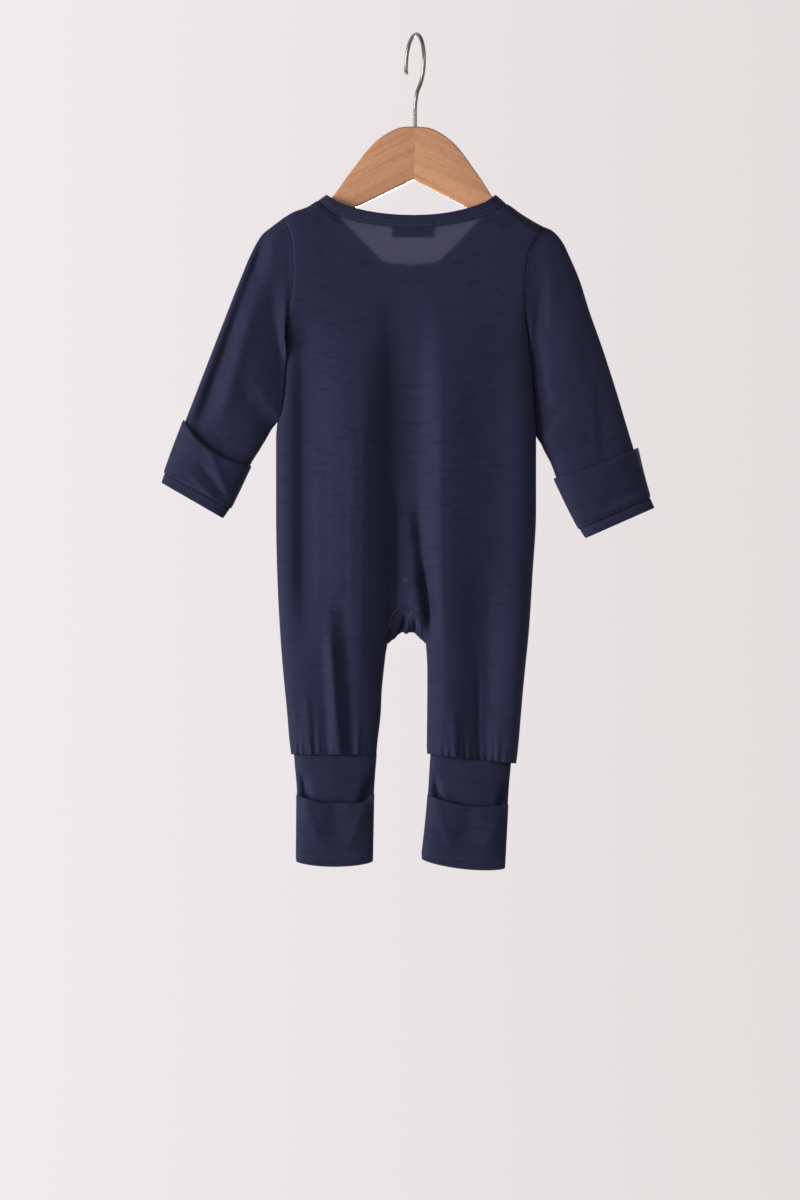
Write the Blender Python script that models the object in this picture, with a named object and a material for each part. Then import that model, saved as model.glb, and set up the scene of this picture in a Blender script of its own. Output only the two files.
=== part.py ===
"""A baby's onesie pajama of thin jersey, hung by its shoulders on a wooden hanger.

All sizes in the tables are millimetres. X runs across the garment, -Y is the side of its back,
and Z is up from the point where the hanger's hook bears on whatever it hangs from.
"""

import math

import bmesh
import bpy
import numpy as np

MM = 0.001
CLOTH = 1.0  # wall of one layer of jersey
BINDING = 2.0  # wall of a doubled strip
SEAM = 0.3  # gap between neighbours
LAP = SEAM + CLOTH  # how far a patch stands off the cloth it lies on
BACK, FRONT = -1, 1
LEFT, RIGHT = -1, 1
SIDE_WORD = {LEFT: "left", RIGHT: "right"}

ARMPIT_Z = -268.0
CROTCH_Z = -496.3  # top of the gusset
INSEAM_Z = -537.0  # where each leg becomes a tube of its own
GUSSET_MID_X, GUSSET_HALF_X = -7.0, 17.2
GUSSET_LOW_Z, GUSSET_ARCH = -518.0, 12.0  # its lowest line between the legs, and the fall to its ends
GUSSET_END = 0.95  # share of the gusset's half width that is cloth
TUBE_POWER = 3.3  # 2 is an ellipse, more is flatter with rounder side folds
BAND_POWER = 2.6
SHOULDER_R = 9.0  # radius with which the cloth turns over the hanger
ARMPIT_R = 40.0  # height over which the armhole narrows to the armpit

# height, left side seam, right side seam
BODY_SIDES = [
    (-264, -113.4, 99.8),
    (-306, -115.6, 102.6),
    (-333, -119.4, 104.6),
    (-350, -120.9, 105.4),
    (-412, -120.9, 105.4),
    (-470, -119.8, 102.2),
    (-516, -117.5, 99.2),
    (-551, -114.8, 95.7),
    (-586, -111.4, 92.2),
    (-618, -108.6, 88.8),
    (-634, -106.0, 86.0),
]
# height, left leg's inner edge, right leg's inner edge
INSEAMS = [
    (-530, -24.6, 9.6),
    (-551, -27.0, 10.6),
    (-568, -28.7, 10.6),
    (-590, -29.8, 10.4),
    (-618, -33.0, 10.2),
    (-634, -34.0, 12.0),
]
# height, half depth of the tube at its middle
BODY_DEPTH = [
    (-143, 9.5),
    (-166, 12.0),
    (-209, 12.6),
    (-270, 14.0),
    (-340, 16.0),
    (-420, 17.0),
    (-500, 16.5),
    (-540, 15.0),
    (-600, 14.0),
    (-634, 12.0),
]
# height, middle line of back and front
MIDDLE = [(-150, -1.0), (-209, -3.5), (-300, -6.5), (-400, -8.0), (-500, -8.0)]
# leg hem: height at the inner edge, and fall for each mm outwards
HEM = {LEFT: (-624.2, 0.0), RIGHT: (-623.6, 0.11)}
FALL_FROM_Z, FALL_REACH = -560.0, 60.0  # where that fall starts, and the height over which it grows

# how far down the armhole, x of its seam, for the left and the right
ARMHOLE = {
    LEFT: [(0.0, -114.6), (0.17, -107.2), (0.44, -105.6), (0.6, -106.4), (0.8, -111.0), (1.0, -113.4)],
    RIGHT: [(0.0, 111.4), (0.13, 103.6), (0.24, 98.3), (0.42, 95.7), (0.72, 95.0), (1.0, 99.8)],
}
SHOULDER_TIP_Z = {LEFT: -158.0, RIGHT: -165.4}

# Neck seam and free edge of the neckband, from the shoulder to the middle:
# share of the panel's width, seam x, seam y, seam z, edge x, edge y, edge z
NECK = {
    (LEFT, BACK): [
        (0.25, -84.4, 0.0, -143.1, -76.6, 0.0, -137.5),
        (0.29, -82.2, 5.2, -145.0, -74.6, 5.2, -139.3),
        (0.34, -79.0, 8.0, -148.6, -72.0, 8.2, -141.6),
        (0.42, -71.0, 9.3, -154.4, -65.0, 9.6, -145.6),
        (0.56, -53.0, 10.4, -160.7, -49.0, 10.8, -151.0),
        (0.70, -36.0, 11.2, -164.0, -33.5, 11.7, -154.1),
        (0.85, -18.0, 11.8, -166.0, -17.0, 12.4, -156.0),
        (1.0, -1.0, 12.0, -166.6, -1.0, 12.6, -156.6),
    ],
    (RIGHT, BACK): [
        (0.25, 79.2, 0.0, -145.7, 70.0, 0.0, -137.5),
        (0.29, 77.3, 5.2, -147.3, 68.3, 5.2, -139.2),
        (0.34, 74.2, 8.0, -150.5, 66.0, 8.2, -141.4),
        (0.42, 67.0, 9.3, -155.0, 60.0, 9.6, -145.2),
        (0.56, 49.5, 10.4, -160.3, 45.3, 10.8, -150.4),
        (0.70, 33.0, 11.2, -163.7, 30.6, 11.7, -153.8),
        (0.85, 16.0, 11.8, -165.9, 15.0, 12.4, -155.9),
        (1.0, -1.0, 12.0, -166.6, -1.0, 12.6, -156.6),
    ],
    (LEFT, FRONT): [
        (0.25, -84.4, 0.0, -143.1, -76.6, 0.0, -137.5),
        (0.29, -83.1, 5.2, -146.0, -75.4, 5.2, -139.5),
        (0.34, -81.2, 8.0, -149.9, -73.3, 8.0, -142.4),
        (0.42, -78.2, 9.2, -156.4, -71.2, 9.3, -149.4),
        (0.56, -63.6, 10.3, -174.8, -55.4, 10.5, -167.5),
        (0.70, -46.8, 11.2, -192.3, -38.4, 11.3, -184.8),
        (0.85, -31.0, 12.0, -206.6, -25.6, 12.0, -196.4),
        (1.0, -7.0, 12.6, -209.8, -7.0, 12.6, -198.6),
    ],
    (RIGHT, FRONT): [
        (0.25, 79.2, 0.0, -145.7, 70.0, 0.0, -137.5),
        (0.29, 77.6, 5.2, -148.2, 68.8, 5.2, -139.9),
        (0.34, 75.8, 8.0, -151.6, 66.8, 8.0, -142.9),
        (0.42, 72.6, 9.2, -157.0, 65.0, 9.3, -149.6),
        (0.56, 57.4, 10.3, -175.6, 49.0, 10.5, -168.2),
        (0.70, 40.2, 11.2, -193.2, 31.9, 11.3, -185.8),
        (0.85, 24.4, 12.0, -207.0, 18.8, 12.0, -196.8),
        (1.0, 0.0, 12.6, -209.8, 0.0, 12.6, -198.6),
    ],
}
# share of the panel's width, x and z along the shoulder seam
SHOULDER = {
    LEFT: [(0.0, -114.6, -158.0), (0.08, -106.0, -152.8), (0.17, -94.0, -148.4)],
    RIGHT: [(0.0, 111.4, -165.4), (0.08, 104.0, -161.4), (0.17, 92.2, -154.2)],
}
ZIP_HALF = 3.5  # from the middle line to each front panel's edge
ZIP_BOTTOM_Z = -470.0

# Large folds: name, x and z of the upper end, x and z of the lower end, half width, height outwards
BACK_FOLDS = [
    ("valley between the legs", -14, -320, -9, -560, 13, -6.0),
    ("valley's deep end", -20, -400, -14, -520, 9, -2.5),
    ("crest over the right leg", 18, -300, 26, -640, 15, 2.6),
    ("crest over the left leg", -54, -300, -50, -560, 12, 1.6),
    ("dent beside the left side", -104, -240, -101, -430, 7, -1.6),
    ("swell at the left hip", -84, -380, -86, -560, 12, 1.2),
    ("long pleat of the left leg", -66, -450, -68, -660, 5, -2.6),
    ("outer pleat of the left leg", -83, -565, -84, -660, 4.5, -1.8),
    ("inner pleat of the left leg", -51, -590, -51, -660, 4.5, -1.5),
    ("long pleat of the right leg", 52, -530, 51, -660, 5, -2.4),
    ("outer pleat of the right leg", 66, -590, 64, -660, 4.5, -1.6),
    ("inner pleat of the right leg", 31, -595, 33, -660, 4.5, -1.5),
    ("swell beside the right side", 92, -240, 80, -560, 9, 1.4),
]
FRONT_FOLDS = [
    ("valley between the legs", -8, -380, -8, -570, 14, -3.5),
    ("crest over the left leg", -50, -260, -62, -610, 15, 2.4),
    ("crest over the right leg", 44, -250, 40, -600, 14, 2.2),
    ("dent under the left arm", -88, -270, -98, -440, 9, -1.8),
    ("dent under the right arm", 78, -280, 86, -430, 8, -1.6),
    ("long pleat of the left leg", -74, -520, -72, -660, 5, -2.2),
    ("inner pleat of the left leg", -52, -580, -53, -660, 4.5, -1.6),
    ("long pleat of the right leg", 46, -500, 47, -660, 5, -2.2),
    ("outer pleat of the right leg", 66, -580, 65, -660, 4.5, -1.7),
]

# Sleeve sections from the armhole to the band: outer x, z, inner x, z, half depth, squareness, bow
SLEEVE = {
    LEFT: [
        (-124.5, -165.8, -114.4, -277, 10.6, 4.2, -4.0),
        (-133.5, -173.4, -115.0, -285, 11.0, 4.0, -1.0),
        (-142.5, -189.0, -116.2, -295, 11.5, 3.2, 0.0),
        (-152.5, -213.0, -117.9, -308, 12.2, 2.8, 0.0),
        (-163.5, -241.0, -120.9, -323, 13.0, 2.6, 0.0),
        (-175.5, -272.0, -125.0, -340, 13.0, 2.6, 0.0),
        (-187.5, -303.0, -133.6, -357, 12.5, 2.6, 0.0),
        (-199.5, -334.0, -143.5, -373, 12.0, 2.6, 8.0),
        (-209.5, -359.0, -153.0, -393, 11.0, 2.6, 2.5),
        (-217.2, -380.0, -161.2, -410, 10.0, 2.6, 0.0),
    ],
    RIGHT: [
        (119.8, -169.6, 100.8, -273, 10.6, 4.2, 4.0),
        (128.0, -178.8, 101.6, -281, 11.0, 4.0, 1.0),
        (135.5, -194.0, 103.0, -291, 11.5, 3.2, 0.0),
        (143.5, -213.0, 104.6, -303, 12.2, 2.8, 0.0),
        (152.0, -240.0, 107.0, -319, 13.0, 2.6, 0.0),
        (163.0, -271.0, 109.4, -337, 13.0, 2.6, 0.0),
        (174.0, -305.0, 112.6, -356, 12.5, 2.6, 0.0),
        (183.0, -335.0, 118.0, -371, 12.0, 2.6, 0.0),
        (190.0, -358.0, 123.0, -384, 12.0, 2.6, -2.5),
        (197.0, -380.0, 133.0, -407, 11.0, 2.6, 0.0),
        (203.5, -401.0, 143.5, -428, 10.0, 2.6, 0.0),
    ],
}
# first section that the mitten flap covers, and the band's lower end: outer x, z, inner x, z
FLAP_FROM = {LEFT: 8, RIGHT: 9}
BAND_END = {LEFT: (-220.1, -388.5, -167.5, -418.9), RIGHT: (207.9, -410.2, 148.8, -436.3)}
BAND_DEPTH = 9.6
FLAP_LIFT = 2.0  # how far the flap's free edge stands off the sleeve at its middle

# Large folds of the sleeves, as for the body
SLEEVE_FOLDS = {
    LEFT: [
        ("ridge down the sleeve", -136, -185, -180, -345, 7, 1.6),
        ("trough into the armpit", -118, -215, -168, -330, 6, -1.4),
        ("trough near the outer edge", -146, -215, -196, -345, 5, -1.2),
    ],
    RIGHT: [
        ("ridge down the sleeve", 116, -190, 150, -330, 7, 1.2),
        ("trough down the middle", 148, -270, 164, -372, 6, -1.4),
    ],
}

# Ankle cuff sections: height, outer x, inner x, half depth
CUFF = {
    LEFT: [
        (-624.6, -105.2, -33.2, 11.0),
        (-640.0, -104.0, -34.5, 11.0),
        (-657.0, -102.8, -35.6, 10.5),
        (-688.0, -103.1, -36.2, 9.5),
        (-711.0, -103.4, -36.6, 8.5),
    ],
    RIGHT: [
        (-628.2, 83.6, 13.4, 11.0),
        (-643.0, 82.2, 12.4, 11.0),
        (-660.0, 81.0, 11.4, 10.5),
        (-690.0, 79.6, 8.6, 9.5),
        (-713.0, 78.4, 5.9, 8.5),
    ],
}
CUFF_TILT = {LEFT: 0.0, RIGHT: 0.11}
# foot flap: share of the way across from the inner edge, height of its free edge
FOOT_MOUTH = {
    LEFT: [(0.0, -658.5), (0.12, -664.5), (0.3, -666.4), (0.6, -666.4), (0.85, -662.5), (1.0, -659.5)],
    RIGHT: [(0.0, -663.0), (0.15, -665.6), (0.4, -668.6), (0.6, -668.8), (0.85, -666.0), (1.0, -664.0)],
}
FOOT_DROP = 8.0  # how far the flap's fold hangs below the cuff
FOOT_SIDE = 0.985  # share of the cuff's half width that the flap's bottom covers

LABEL_X, LABEL_Z = (-20.0, 17.4), (-158.5, -176.0)
LABEL_DEPTH, LABEL_BOW, LABEL_T = 10.0, 0.0028, 0.8

ZIP_TOP_Z = -199.5  # top of the tapes, just under the neckband's edge
TAPE_INNER, TAPE_W, TAPE_T, TAPE_SINK = 0.4, 12.0, 0.8, 0.5
CHAIN_HALF, CHAIN_T, CHAIN_STOP = 2.2, 2.0, 2.5
BAND_SINK = 1.5  # how much deeper the zip lies behind the neckband
SLIDER_Z, SLIDER_W, SLIDER_H, SLIDER_GAP = -222.0, 6.2, 9.0, 0.3
PLATE_T, FLANGE_T, FLANGE_H = 1.0, 0.6, 1.2
BRIDGE_W, BRIDGE_H, BRIDGE_T = 1.4, 6.4, 0.8
PULL_W, PULL_L, PULL_BAR, PULL_GAP = 4.6, 17.0, 1.0, 0.4
PULL_WINDOW_W, PULL_WINDOW_H = 2.4, 4.4

# Hanger arm outline: distance from the joint, top
ARM_TOP = [
    (0.15, -78.5),
    (14.0, -80.1),
    (24.7, -85.4),
    (34.6, -93.0),
    (42.6, -102.0),
    (50.0, -112.0),
    (58.0, -122.8),
    (70.0, -140.3),
    (75.0, -145.0),
    (80.0, -149.0),
    (85.0, -151.6),
    (95.0, -157.0),
    (107.0, -163.0),
    (117.0, -167.4),
    (123.0, -172.4),
    (126.2, -177.0),
    (127.0, -181.0),
]
ARM_NOTCH_Z, ARM_FALL = -124.3, 0.51  # underside at the joint, and its fall for each mm outwards
ARM_TIP_X, ARM_TIP_R = 127.0, 4.5
ARM_HALF_T, ARM_EDGE_R = 5.5, 5.2
HANGER_TILT = math.radians(1.1)  # the right arm hangs lower
HANGER_TOP_Z = -78.5
WIRE_R = 1.7
HOOK_R = 25.0
HOOK_TURN = math.radians(18.0)  # of the hook's plane from the line of sight
STEM_END_Z = -100.0


def smooth_steps(table, at, column=1):
    """A curve through a table's points without overshoot: cubic pieces with limited slopes."""
    rows = sorted(table)
    xs = np.array([row[0] for row in rows], float)
    ys = np.array([row[column] for row in rows], float)
    steps = np.diff(ys) / np.diff(xs)
    slopes = np.concatenate([[steps[0]], (steps[1:] + steps[:-1]) / 2, [steps[-1]]])
    flat = steps[1:] * steps[:-1] <= 0
    slopes[1:-1][flat] = 0.0
    slopes[:-1] = np.sign(slopes[:-1]) * np.minimum(abs(slopes[:-1]), 3 * abs(steps))
    slopes[1:] = np.sign(slopes[1:]) * np.minimum(abs(slopes[1:]), 3 * abs(steps))
    at = np.clip(np.asarray(at, float), xs[0], xs[-1])
    i = np.clip(np.searchsorted(xs, at, side="right") - 1, 0, len(xs) - 2)
    h = xs[i + 1] - xs[i]
    t = (at - xs[i]) / h
    start = ys[i] * (2 * t**3 - 3 * t**2 + 1) + slopes[i] * h * (t**3 - 2 * t**2 + t)
    return start + ys[i + 1] * (3 * t**2 - 2 * t**3) + slopes[i + 1] * h * (t**3 - t**2)


def ease(value):
    """0 below 0, 1 above 1, and a soft S between."""
    value = np.clip(value, 0.0, 1.0)
    return value * value * (3 - 2 * value)


def quarter_round(value):
    """Height of a quarter circle that starts upright at 0 and is level from 1 on."""
    return np.sqrt(np.clip(1 - (1 - np.clip(value, 0.0, 1.0)) ** 2, 0.0, 1.0))


def fold_height(folds, x, z):
    """Sum of soft strokes: bell-shaped across, faded in and out over a quarter of the length."""
    total = np.zeros(np.broadcast(x, z).shape)
    for _, x1, z1, x2, z2, width, height in folds:
        length = math.hypot(x2 - x1, z2 - z1)
        along = ((x - x1) * (x2 - x1) + (z - z1) * (z2 - z1)) / length**2
        across = ((x - x1) * (z2 - z1) - (z - z1) * (x2 - x1)) / length
        window = ease(along / 0.25) * ease((1 - along) / 0.25)
        total = total + height * window * np.exp(-((across / width) ** 2))
    return total


def gusset_seam_z(share):
    """Height of the gusset's seam at a share of its half width from its middle."""
    return CROTCH_Z - 0.3 - 7.0 * share**2 - 26.0 * share**8


def inner_edge_x(side, face, z):
    """x of a body panel's inner edge: the middle line, then the gusset's seam, then the inseam."""
    shares = np.linspace(0, GUSSET_END, 60)
    share = np.interp(-z, -gusset_seam_z(shares), shares)
    at_gusset = GUSSET_MID_X + side * (GUSSET_HALF_X * share + SEAM)
    at_leg = smooth_steps(INSEAMS, z, 1 if side == LEFT else 2)
    past = ease((gusset_seam_z(GUSSET_END) - z) / (gusset_seam_z(GUSSET_END) - INSEAM_Z))
    lower = at_gusset * (1 - past) + at_leg * past
    middle = smooth_steps(MIDDLE, z)
    if face == FRONT:
        middle = middle + side * np.where(z >= ZIP_BOTTOM_Z, ZIP_HALF, SEAM / 2)
    return np.where(z >= CROTCH_Z, middle, lower)


def lower_rows(side, face, z, c):
    """Points of a body panel below the armpit, at heights z (rows) and shares c of its width (columns)."""
    z, c = np.meshgrid(z, c, indexing="ij")
    leg = ease((CROTCH_Z + 16 - z) / (CROTCH_Z + 16 - INSEAM_Z))
    torso_across = 1 - (1 - c) ** 1.45
    leg_across = (1 - np.cos(math.pi * c)) / 2
    across = torso_across * (1 - leg) + leg_across * leg
    x_side = smooth_steps(BODY_SIDES, z, 1 if side == LEFT else 2)
    x = x_side + (inner_edge_x(side, face, z) - x_side) * across
    half = (1 - np.clip(1 - across, 0, 1) ** TUBE_POWER) ** (1 / TUBE_POWER)
    whole = (1 - abs(2 * across - 1) ** TUBE_POWER) ** (1 / TUBE_POWER)
    bulge = half * (1 - leg) + np.clip(whole, 0, 1) * leg
    folds = BACK_FOLDS if face == BACK else FRONT_FOLDS
    depth = smooth_steps(BODY_DEPTH, z) + fold_height(folds, x, z)
    fall = HEM[side][1] * ease((FALL_FROM_Z - z) / FALL_REACH)
    hem_x = smooth_steps(INSEAMS, FALL_FROM_Z - FALL_REACH, 1 if side == LEFT else 2)
    z = z - fall * side * (x - hem_x)
    return np.stack([x, face * (SEAM / 2 + (depth - SEAM / 2) * bulge), z], axis=-1)


def armhole(side, face, t):
    """Points of the armhole's seam, from the shoulder (t = 0) to the armpit (t = 1)."""
    drop = SHOULDER_TIP_Z[side] - ARMPIT_Z
    z = SHOULDER_TIP_Z[side] - drop * t
    x = smooth_steps(ARMHOLE[side], t)
    depth = 8.4 + 2.6 * np.sin(math.pi * t)
    depth = depth * quarter_round(drop * t / SHOULDER_R) * quarter_round(drop * (1 - t) / ARMPIT_R)
    return np.stack([x, face * (SEAM / 2 + depth), z], axis=-1)


def upper_rows(side, face, f, c):
    """Points of a body panel from its shoulder and neck seams (f = 0) to the armpit (f = 1)."""
    top = [(share, x, 0.0, z) for share, x, z in SHOULDER[side]]
    top += [row[:4] for row in NECK[side, face]]
    top_x, top_y, top_z = (smooth_steps(top, c, k) for k in (1, 2, 3))
    under = lower_rows(side, face, np.array([ARMPIT_Z]), c)[0]
    edge = armhole(side, face, f)
    f, c = np.meshgrid(f, c, indexing="ij")
    x = top_x * (1 - f) + under[:, 0] * f
    x = x + (edge[:, :1] - x[:, :1]) * (1 - c) ** 6
    if face == FRONT:
        x = np.where(c >= 1, smooth_steps(MIDDLE, -210 - 60 * f) + side * ZIP_HALF, x)
    z = top_z * (1 - f) + under[:, 2] * f
    drop = top_z - z
    depth = smooth_steps(BODY_DEPTH, z)
    torso_across = 1 - (1 - c) ** 1.45
    bulge = (1 - (1 - torso_across) ** TUBE_POWER) ** (1 / TUBE_POWER)
    edge_depth = abs(edge[:, 1:2]) / np.maximum(quarter_round(drop[:, :1] / SHOULDER_R), 0.05)
    folds = BACK_FOLDS if face == BACK else FRONT_FOLDS
    inside = edge_depth * (1 - bulge) + (depth + fold_height(folds, x, z)) * bulge
    turned = quarter_round(drop / SHOULDER_R)
    y = np.maximum(top_y, SEAM / 2) * (1 - turned) + inside * turned
    y[:, 0] = abs(edge[:, 1])
    y[-1] = abs(under[:, 1])
    return np.stack([x, face * y, z], axis=-1)


def sleeve_ring(side, k, q):
    """Section k of a sleeve at shares q of the way round, 0 at the outer edge and 0.5 at the inner."""
    s = np.cos(2 * math.pi * q)
    face = np.where(np.sin(2 * math.pi * q) >= 0, BACK, FRONT)
    if k == 0:
        ring = armhole(side, 1, (1 - s) / 2)
        ring[:, 0] += side * SEAM
        ring[:, 1] = np.where(abs(s) > 0.9999, 0.0, face * ring[:, 1])
        return ring
    outer_x, outer_z, inner_x, inner_z, depth, power, bow = SLEEVE[side][k - 1]
    return section(s, face, (outer_x, outer_z), (inner_x, inner_z), depth, power, bow)


def section(s, face, outer, inner, depth, power, bow=0.0):
    """A flat ring between an outer and an inner point, bowed along the sleeve by bow in its middle."""
    share = (1 + s) / 2
    x = inner[0] + (outer[0] - inner[0]) * share
    z = inner[1] + (outer[1] - inner[1]) * share
    length = math.hypot(outer[0] - inner[0], outer[1] - inner[1])
    x = x - bow * (1 - s**2) * (outer[1] - inner[1]) / length
    z = z + bow * (1 - s**2) * (outer[0] - inner[0]) / length
    y = face * depth * np.clip(1 - abs(s) ** power, 0, 1) ** (1 / power)
    return np.stack([x, y, z], axis=-1)


def outward(grid, ring=False):
    """Unit normals of a grid of points, from its neighbours, pointing away from the garment's middle."""
    if ring:
        wide = np.concatenate([grid[:, -1:], grid, grid[:, :1]], axis=1)
        across = wide[:, 2:] - wide[:, :-2]
    else:
        across = np.gradient(grid, axis=1)
    along = np.gradient(grid, axis=0)
    return unit(np.cross(across, along))


def facing(normal, away):
    """The same normals, turned so that each points along away or, where away is level with it, keeps."""
    return normal * np.where((normal * away).sum(axis=2, keepdims=True) < 0, -1, 1)


def unit(vectors):
    return vectors / np.maximum(np.linalg.norm(vectors, axis=-1, keepdims=True), 1e-9)


def material(name, colour, roughness, metallic=0.0):
    made = bpy.data.materials.get(name) or bpy.data.materials.new(name)
    made.use_nodes = True
    shader = made.node_tree.nodes["Principled BSDF"]
    shader.inputs["Base Color"].default_value = (*colour, 1.0)
    shader.inputs["Roughness"].default_value = roughness
    shader.inputs["Metallic"].default_value = metallic
    return made


def add_object(name, points, faces, finish):
    """A mesh object from points in millimetres, merged, its faces turned outwards."""
    mesh = bpy.data.meshes.new(name)
    mesh.from_pydata([tuple(p) for p in np.asarray(points) * MM], [], faces)
    shape = bmesh.new()
    shape.from_mesh(mesh)
    bmesh.ops.remove_doubles(shape, verts=shape.verts, dist=0.02 * MM)
    bmesh.ops.recalc_face_normals(shape, faces=shape.faces)
    shape.to_mesh(mesh)
    shape.free()
    mesh.materials.append(finish)
    mesh.shade_smooth()
    mesh.set_sharp_from_angle(angle=math.radians(50))
    made = bpy.data.objects.new(name, mesh)
    bpy.context.scene.collection.objects.link(made)
    return made


def wall_faces(rows, cols, ring=False, first=0, seam_from=0):
    """Faces of a closed wall between two grids stored one after the other.

    A ring joins its last column to its first. Rows above seam_from leave the last column
    without a rim, because another grid continues the wall there.
    """
    n = rows * cols
    at = np.arange(n).reshape(rows, cols) + first
    steps = range(cols if ring else cols - 1)
    faces = []
    for r in range(rows - 1):
        for c in steps:
            d = (c + 1) % cols
            quad = (at[r, c], at[r, d], at[r + 1, d], at[r + 1, c])
            faces.append(quad)
            faces.append(tuple(i + n for i in reversed(quad)))
    for r, flip in ((0, 1), (rows - 1, -1)):
        for c in steps:
            d = (c + 1) % cols
            faces.append((at[r, d], at[r, c], at[r, c] + n, at[r, d] + n)[::flip])
    if not ring:
        for r in range(rows - 1):
            faces.append((at[r, 0], at[r + 1, 0], at[r + 1, 0] + n, at[r, 0] + n))
            if r >= seam_from:
                faces.append((at[r + 1, -1], at[r, -1], at[r, -1] + n, at[r + 1, -1] + n))
    return [tuple(int(i) for i in face) for face in faces]


def wall(name, outer, inner, finish, ring=False):
    points = np.concatenate([outer.reshape(-1, 3), inner.reshape(-1, 3)])
    return add_object(name, points, wall_faces(*outer.shape[:2], ring), finish)


# Rows and columns of the body panels
COLUMNS = np.array([0, 0.04, 0.11, 0.18, 0.25, 0.29, 0.34, 0.42, 0.56, 0.70, 0.85, 1.0])
NECK_SHARES = COLUMNS[4:]
UPPER = np.array([0, 0.012, 0.035, 0.08, 0.2, 0.4, 0.6, 0.78, 0.9, 0.97])
GUSSET_SHARES = np.array([0.0, 0.5, 0.8, 0.9, GUSSET_END])
CUFF_SIDES = 18
LEG_LEVELS = np.array([-528.0, INSEAM_Z, -556.0, -578.0, -598.0, -614.0])


def body_levels(side):
    torso = np.array([ARMPIT_Z, -295.0, -330.0, -370.0, -410.0, -445.0, ZIP_BOTTOM_Z, -485.0])
    seam = gusset_seam_z(GUSSET_SHARES) + SEAM
    return np.concatenate([torso, seam, LEG_LEVELS, [HEM[side][0]]])


def body_panel(side, face):
    """Outer and inner points of one half of the back, or of one front, and the row where the legs part."""
    lower = lower_rows(side, face, body_levels(side), COLUMNS)
    upper = upper_rows(side, face, UPPER, COLUMNS)
    outer = np.concatenate([upper, lower])
    part_row = len(UPPER) + int(np.sum(body_levels(side) > CROTCH_Z + 0.01))
    normal = facing(outward(outer), np.array([0.0, face, 0.0]))
    armpit_row = len(UPPER)
    side_seam = unit(normal[armpit_row:, 0] * [1, 0, 1])
    normal[armpit_row:, 0] = side_seam * np.where(side_seam[:, :1] * side < 0, -1, 1)
    leg_rows = outer[:, -1, 2] <= INSEAM_Z + 0.01
    normal[leg_rows, -1] = unit(normal[leg_rows, -1] * [1, 0, 0])
    normal[leg_rows, -1, 0] = -side
    shoulder = np.flatnonzero(abs(outer[0, :, 1]) < SEAM)
    normal[0, shoulder] = unit(normal[0, shoulder] * [1, 0, 1])
    normal[0, shoulder] *= np.where(normal[0, shoulder, 2:] < 0, -1, 1)
    normal[-1] = unit(normal[-1] * [1, 1, 0])
    if face == BACK:
        normal[: part_row + 1, -1] = (0.0, face, 0.0)
    inner = outer - CLOTH * normal
    inner[..., 1] = face * np.maximum(face * inner[..., 1], SEAM / 2)
    arm = slice(0, armpit_row)
    inner[arm, 0, 0] = side * np.minimum(side * inner[arm, 0, 0], side * outer[arm, 0, 0])
    return outer, inner, part_row


def make_back():
    points, faces = [], []
    count = 0
    for side in (LEFT, RIGHT):
        outer, inner, part_row = body_panel(side, BACK)
        points += [outer.reshape(-1, 3), inner.reshape(-1, 3)]
        faces += wall_faces(*outer.shape[:2], first=count, seam_from=part_row)
        count += 2 * outer.shape[0] * outer.shape[1]
    add_object("back_panel", np.concatenate(points), faces, JERSEY)


def make_fronts():
    for side in (LEFT, RIGHT):
        outer, inner, _ = body_panel(side, FRONT)
        wall(f"front_{SIDE_WORD[side]}", outer, inner, JERSEY)


def make_gusset():
    """A small saddle between the legs: each column runs from the back seam, under, to the front seam."""
    shares = np.concatenate([-GUSSET_SHARES[:0:-1], GUSSET_SHARES])
    turns = np.linspace(0, 1, 9)
    grid = np.zeros((len(turns), len(shares), 3))
    for c, share in enumerate(shares):
        side = LEFT if share < 0 else RIGHT
        seam_z = gusset_seam_z(abs(share)) - SEAM / 2
        back, front = (
            lower_rows(side, face, np.array([seam_z]), np.array([1.0]))[0, 0] for face in (BACK, FRONT)
        )
        low = GUSSET_LOW_Z - GUSSET_ARCH * share**2
        swing = np.cos(math.pi * turns)
        grid[:, c, 0] = GUSSET_MID_X + GUSSET_HALF_X * share
        grid[:, c, 1] = np.where(swing > 0, back[1] * swing, -front[1] * swing)
        grid[:, c, 2] = seam_z + (low - seam_z) * np.sin(math.pi * turns)
    away = unit(grid - np.array([GUSSET_MID_X, 0.0, CROTCH_Z]))
    normal = facing(outward(grid), away)
    normal[[0, -1]] = unit(normal[[0, -1]] * [1, 1, 0])
    wall("crotch_gusset", grid, grid - CLOTH * normal, JERSEY)


def sleeve_grid(side, around):
    rings = [sleeve_ring(side, k, around) for k in range(len(SLEEVE[side]) + 1)]
    grid = np.stack(rings)
    folds = SLEEVE_FOLDS[side]
    lift = fold_height(folds, grid[..., 0], grid[..., 2])
    rounding = np.clip(abs(grid[..., 1]) / 8, 0, 1)
    fade = ease((np.arange(len(rings)) - 1) / 2)[:, None]
    grid[..., 1] += np.sign(grid[..., 1]) * lift * rounding * fade
    return grid


def ring_axis(grid):
    """Middle of each ring, spread over its points."""
    return (grid.min(axis=1, keepdims=True) + grid.max(axis=1, keepdims=True)) / 2


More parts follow.
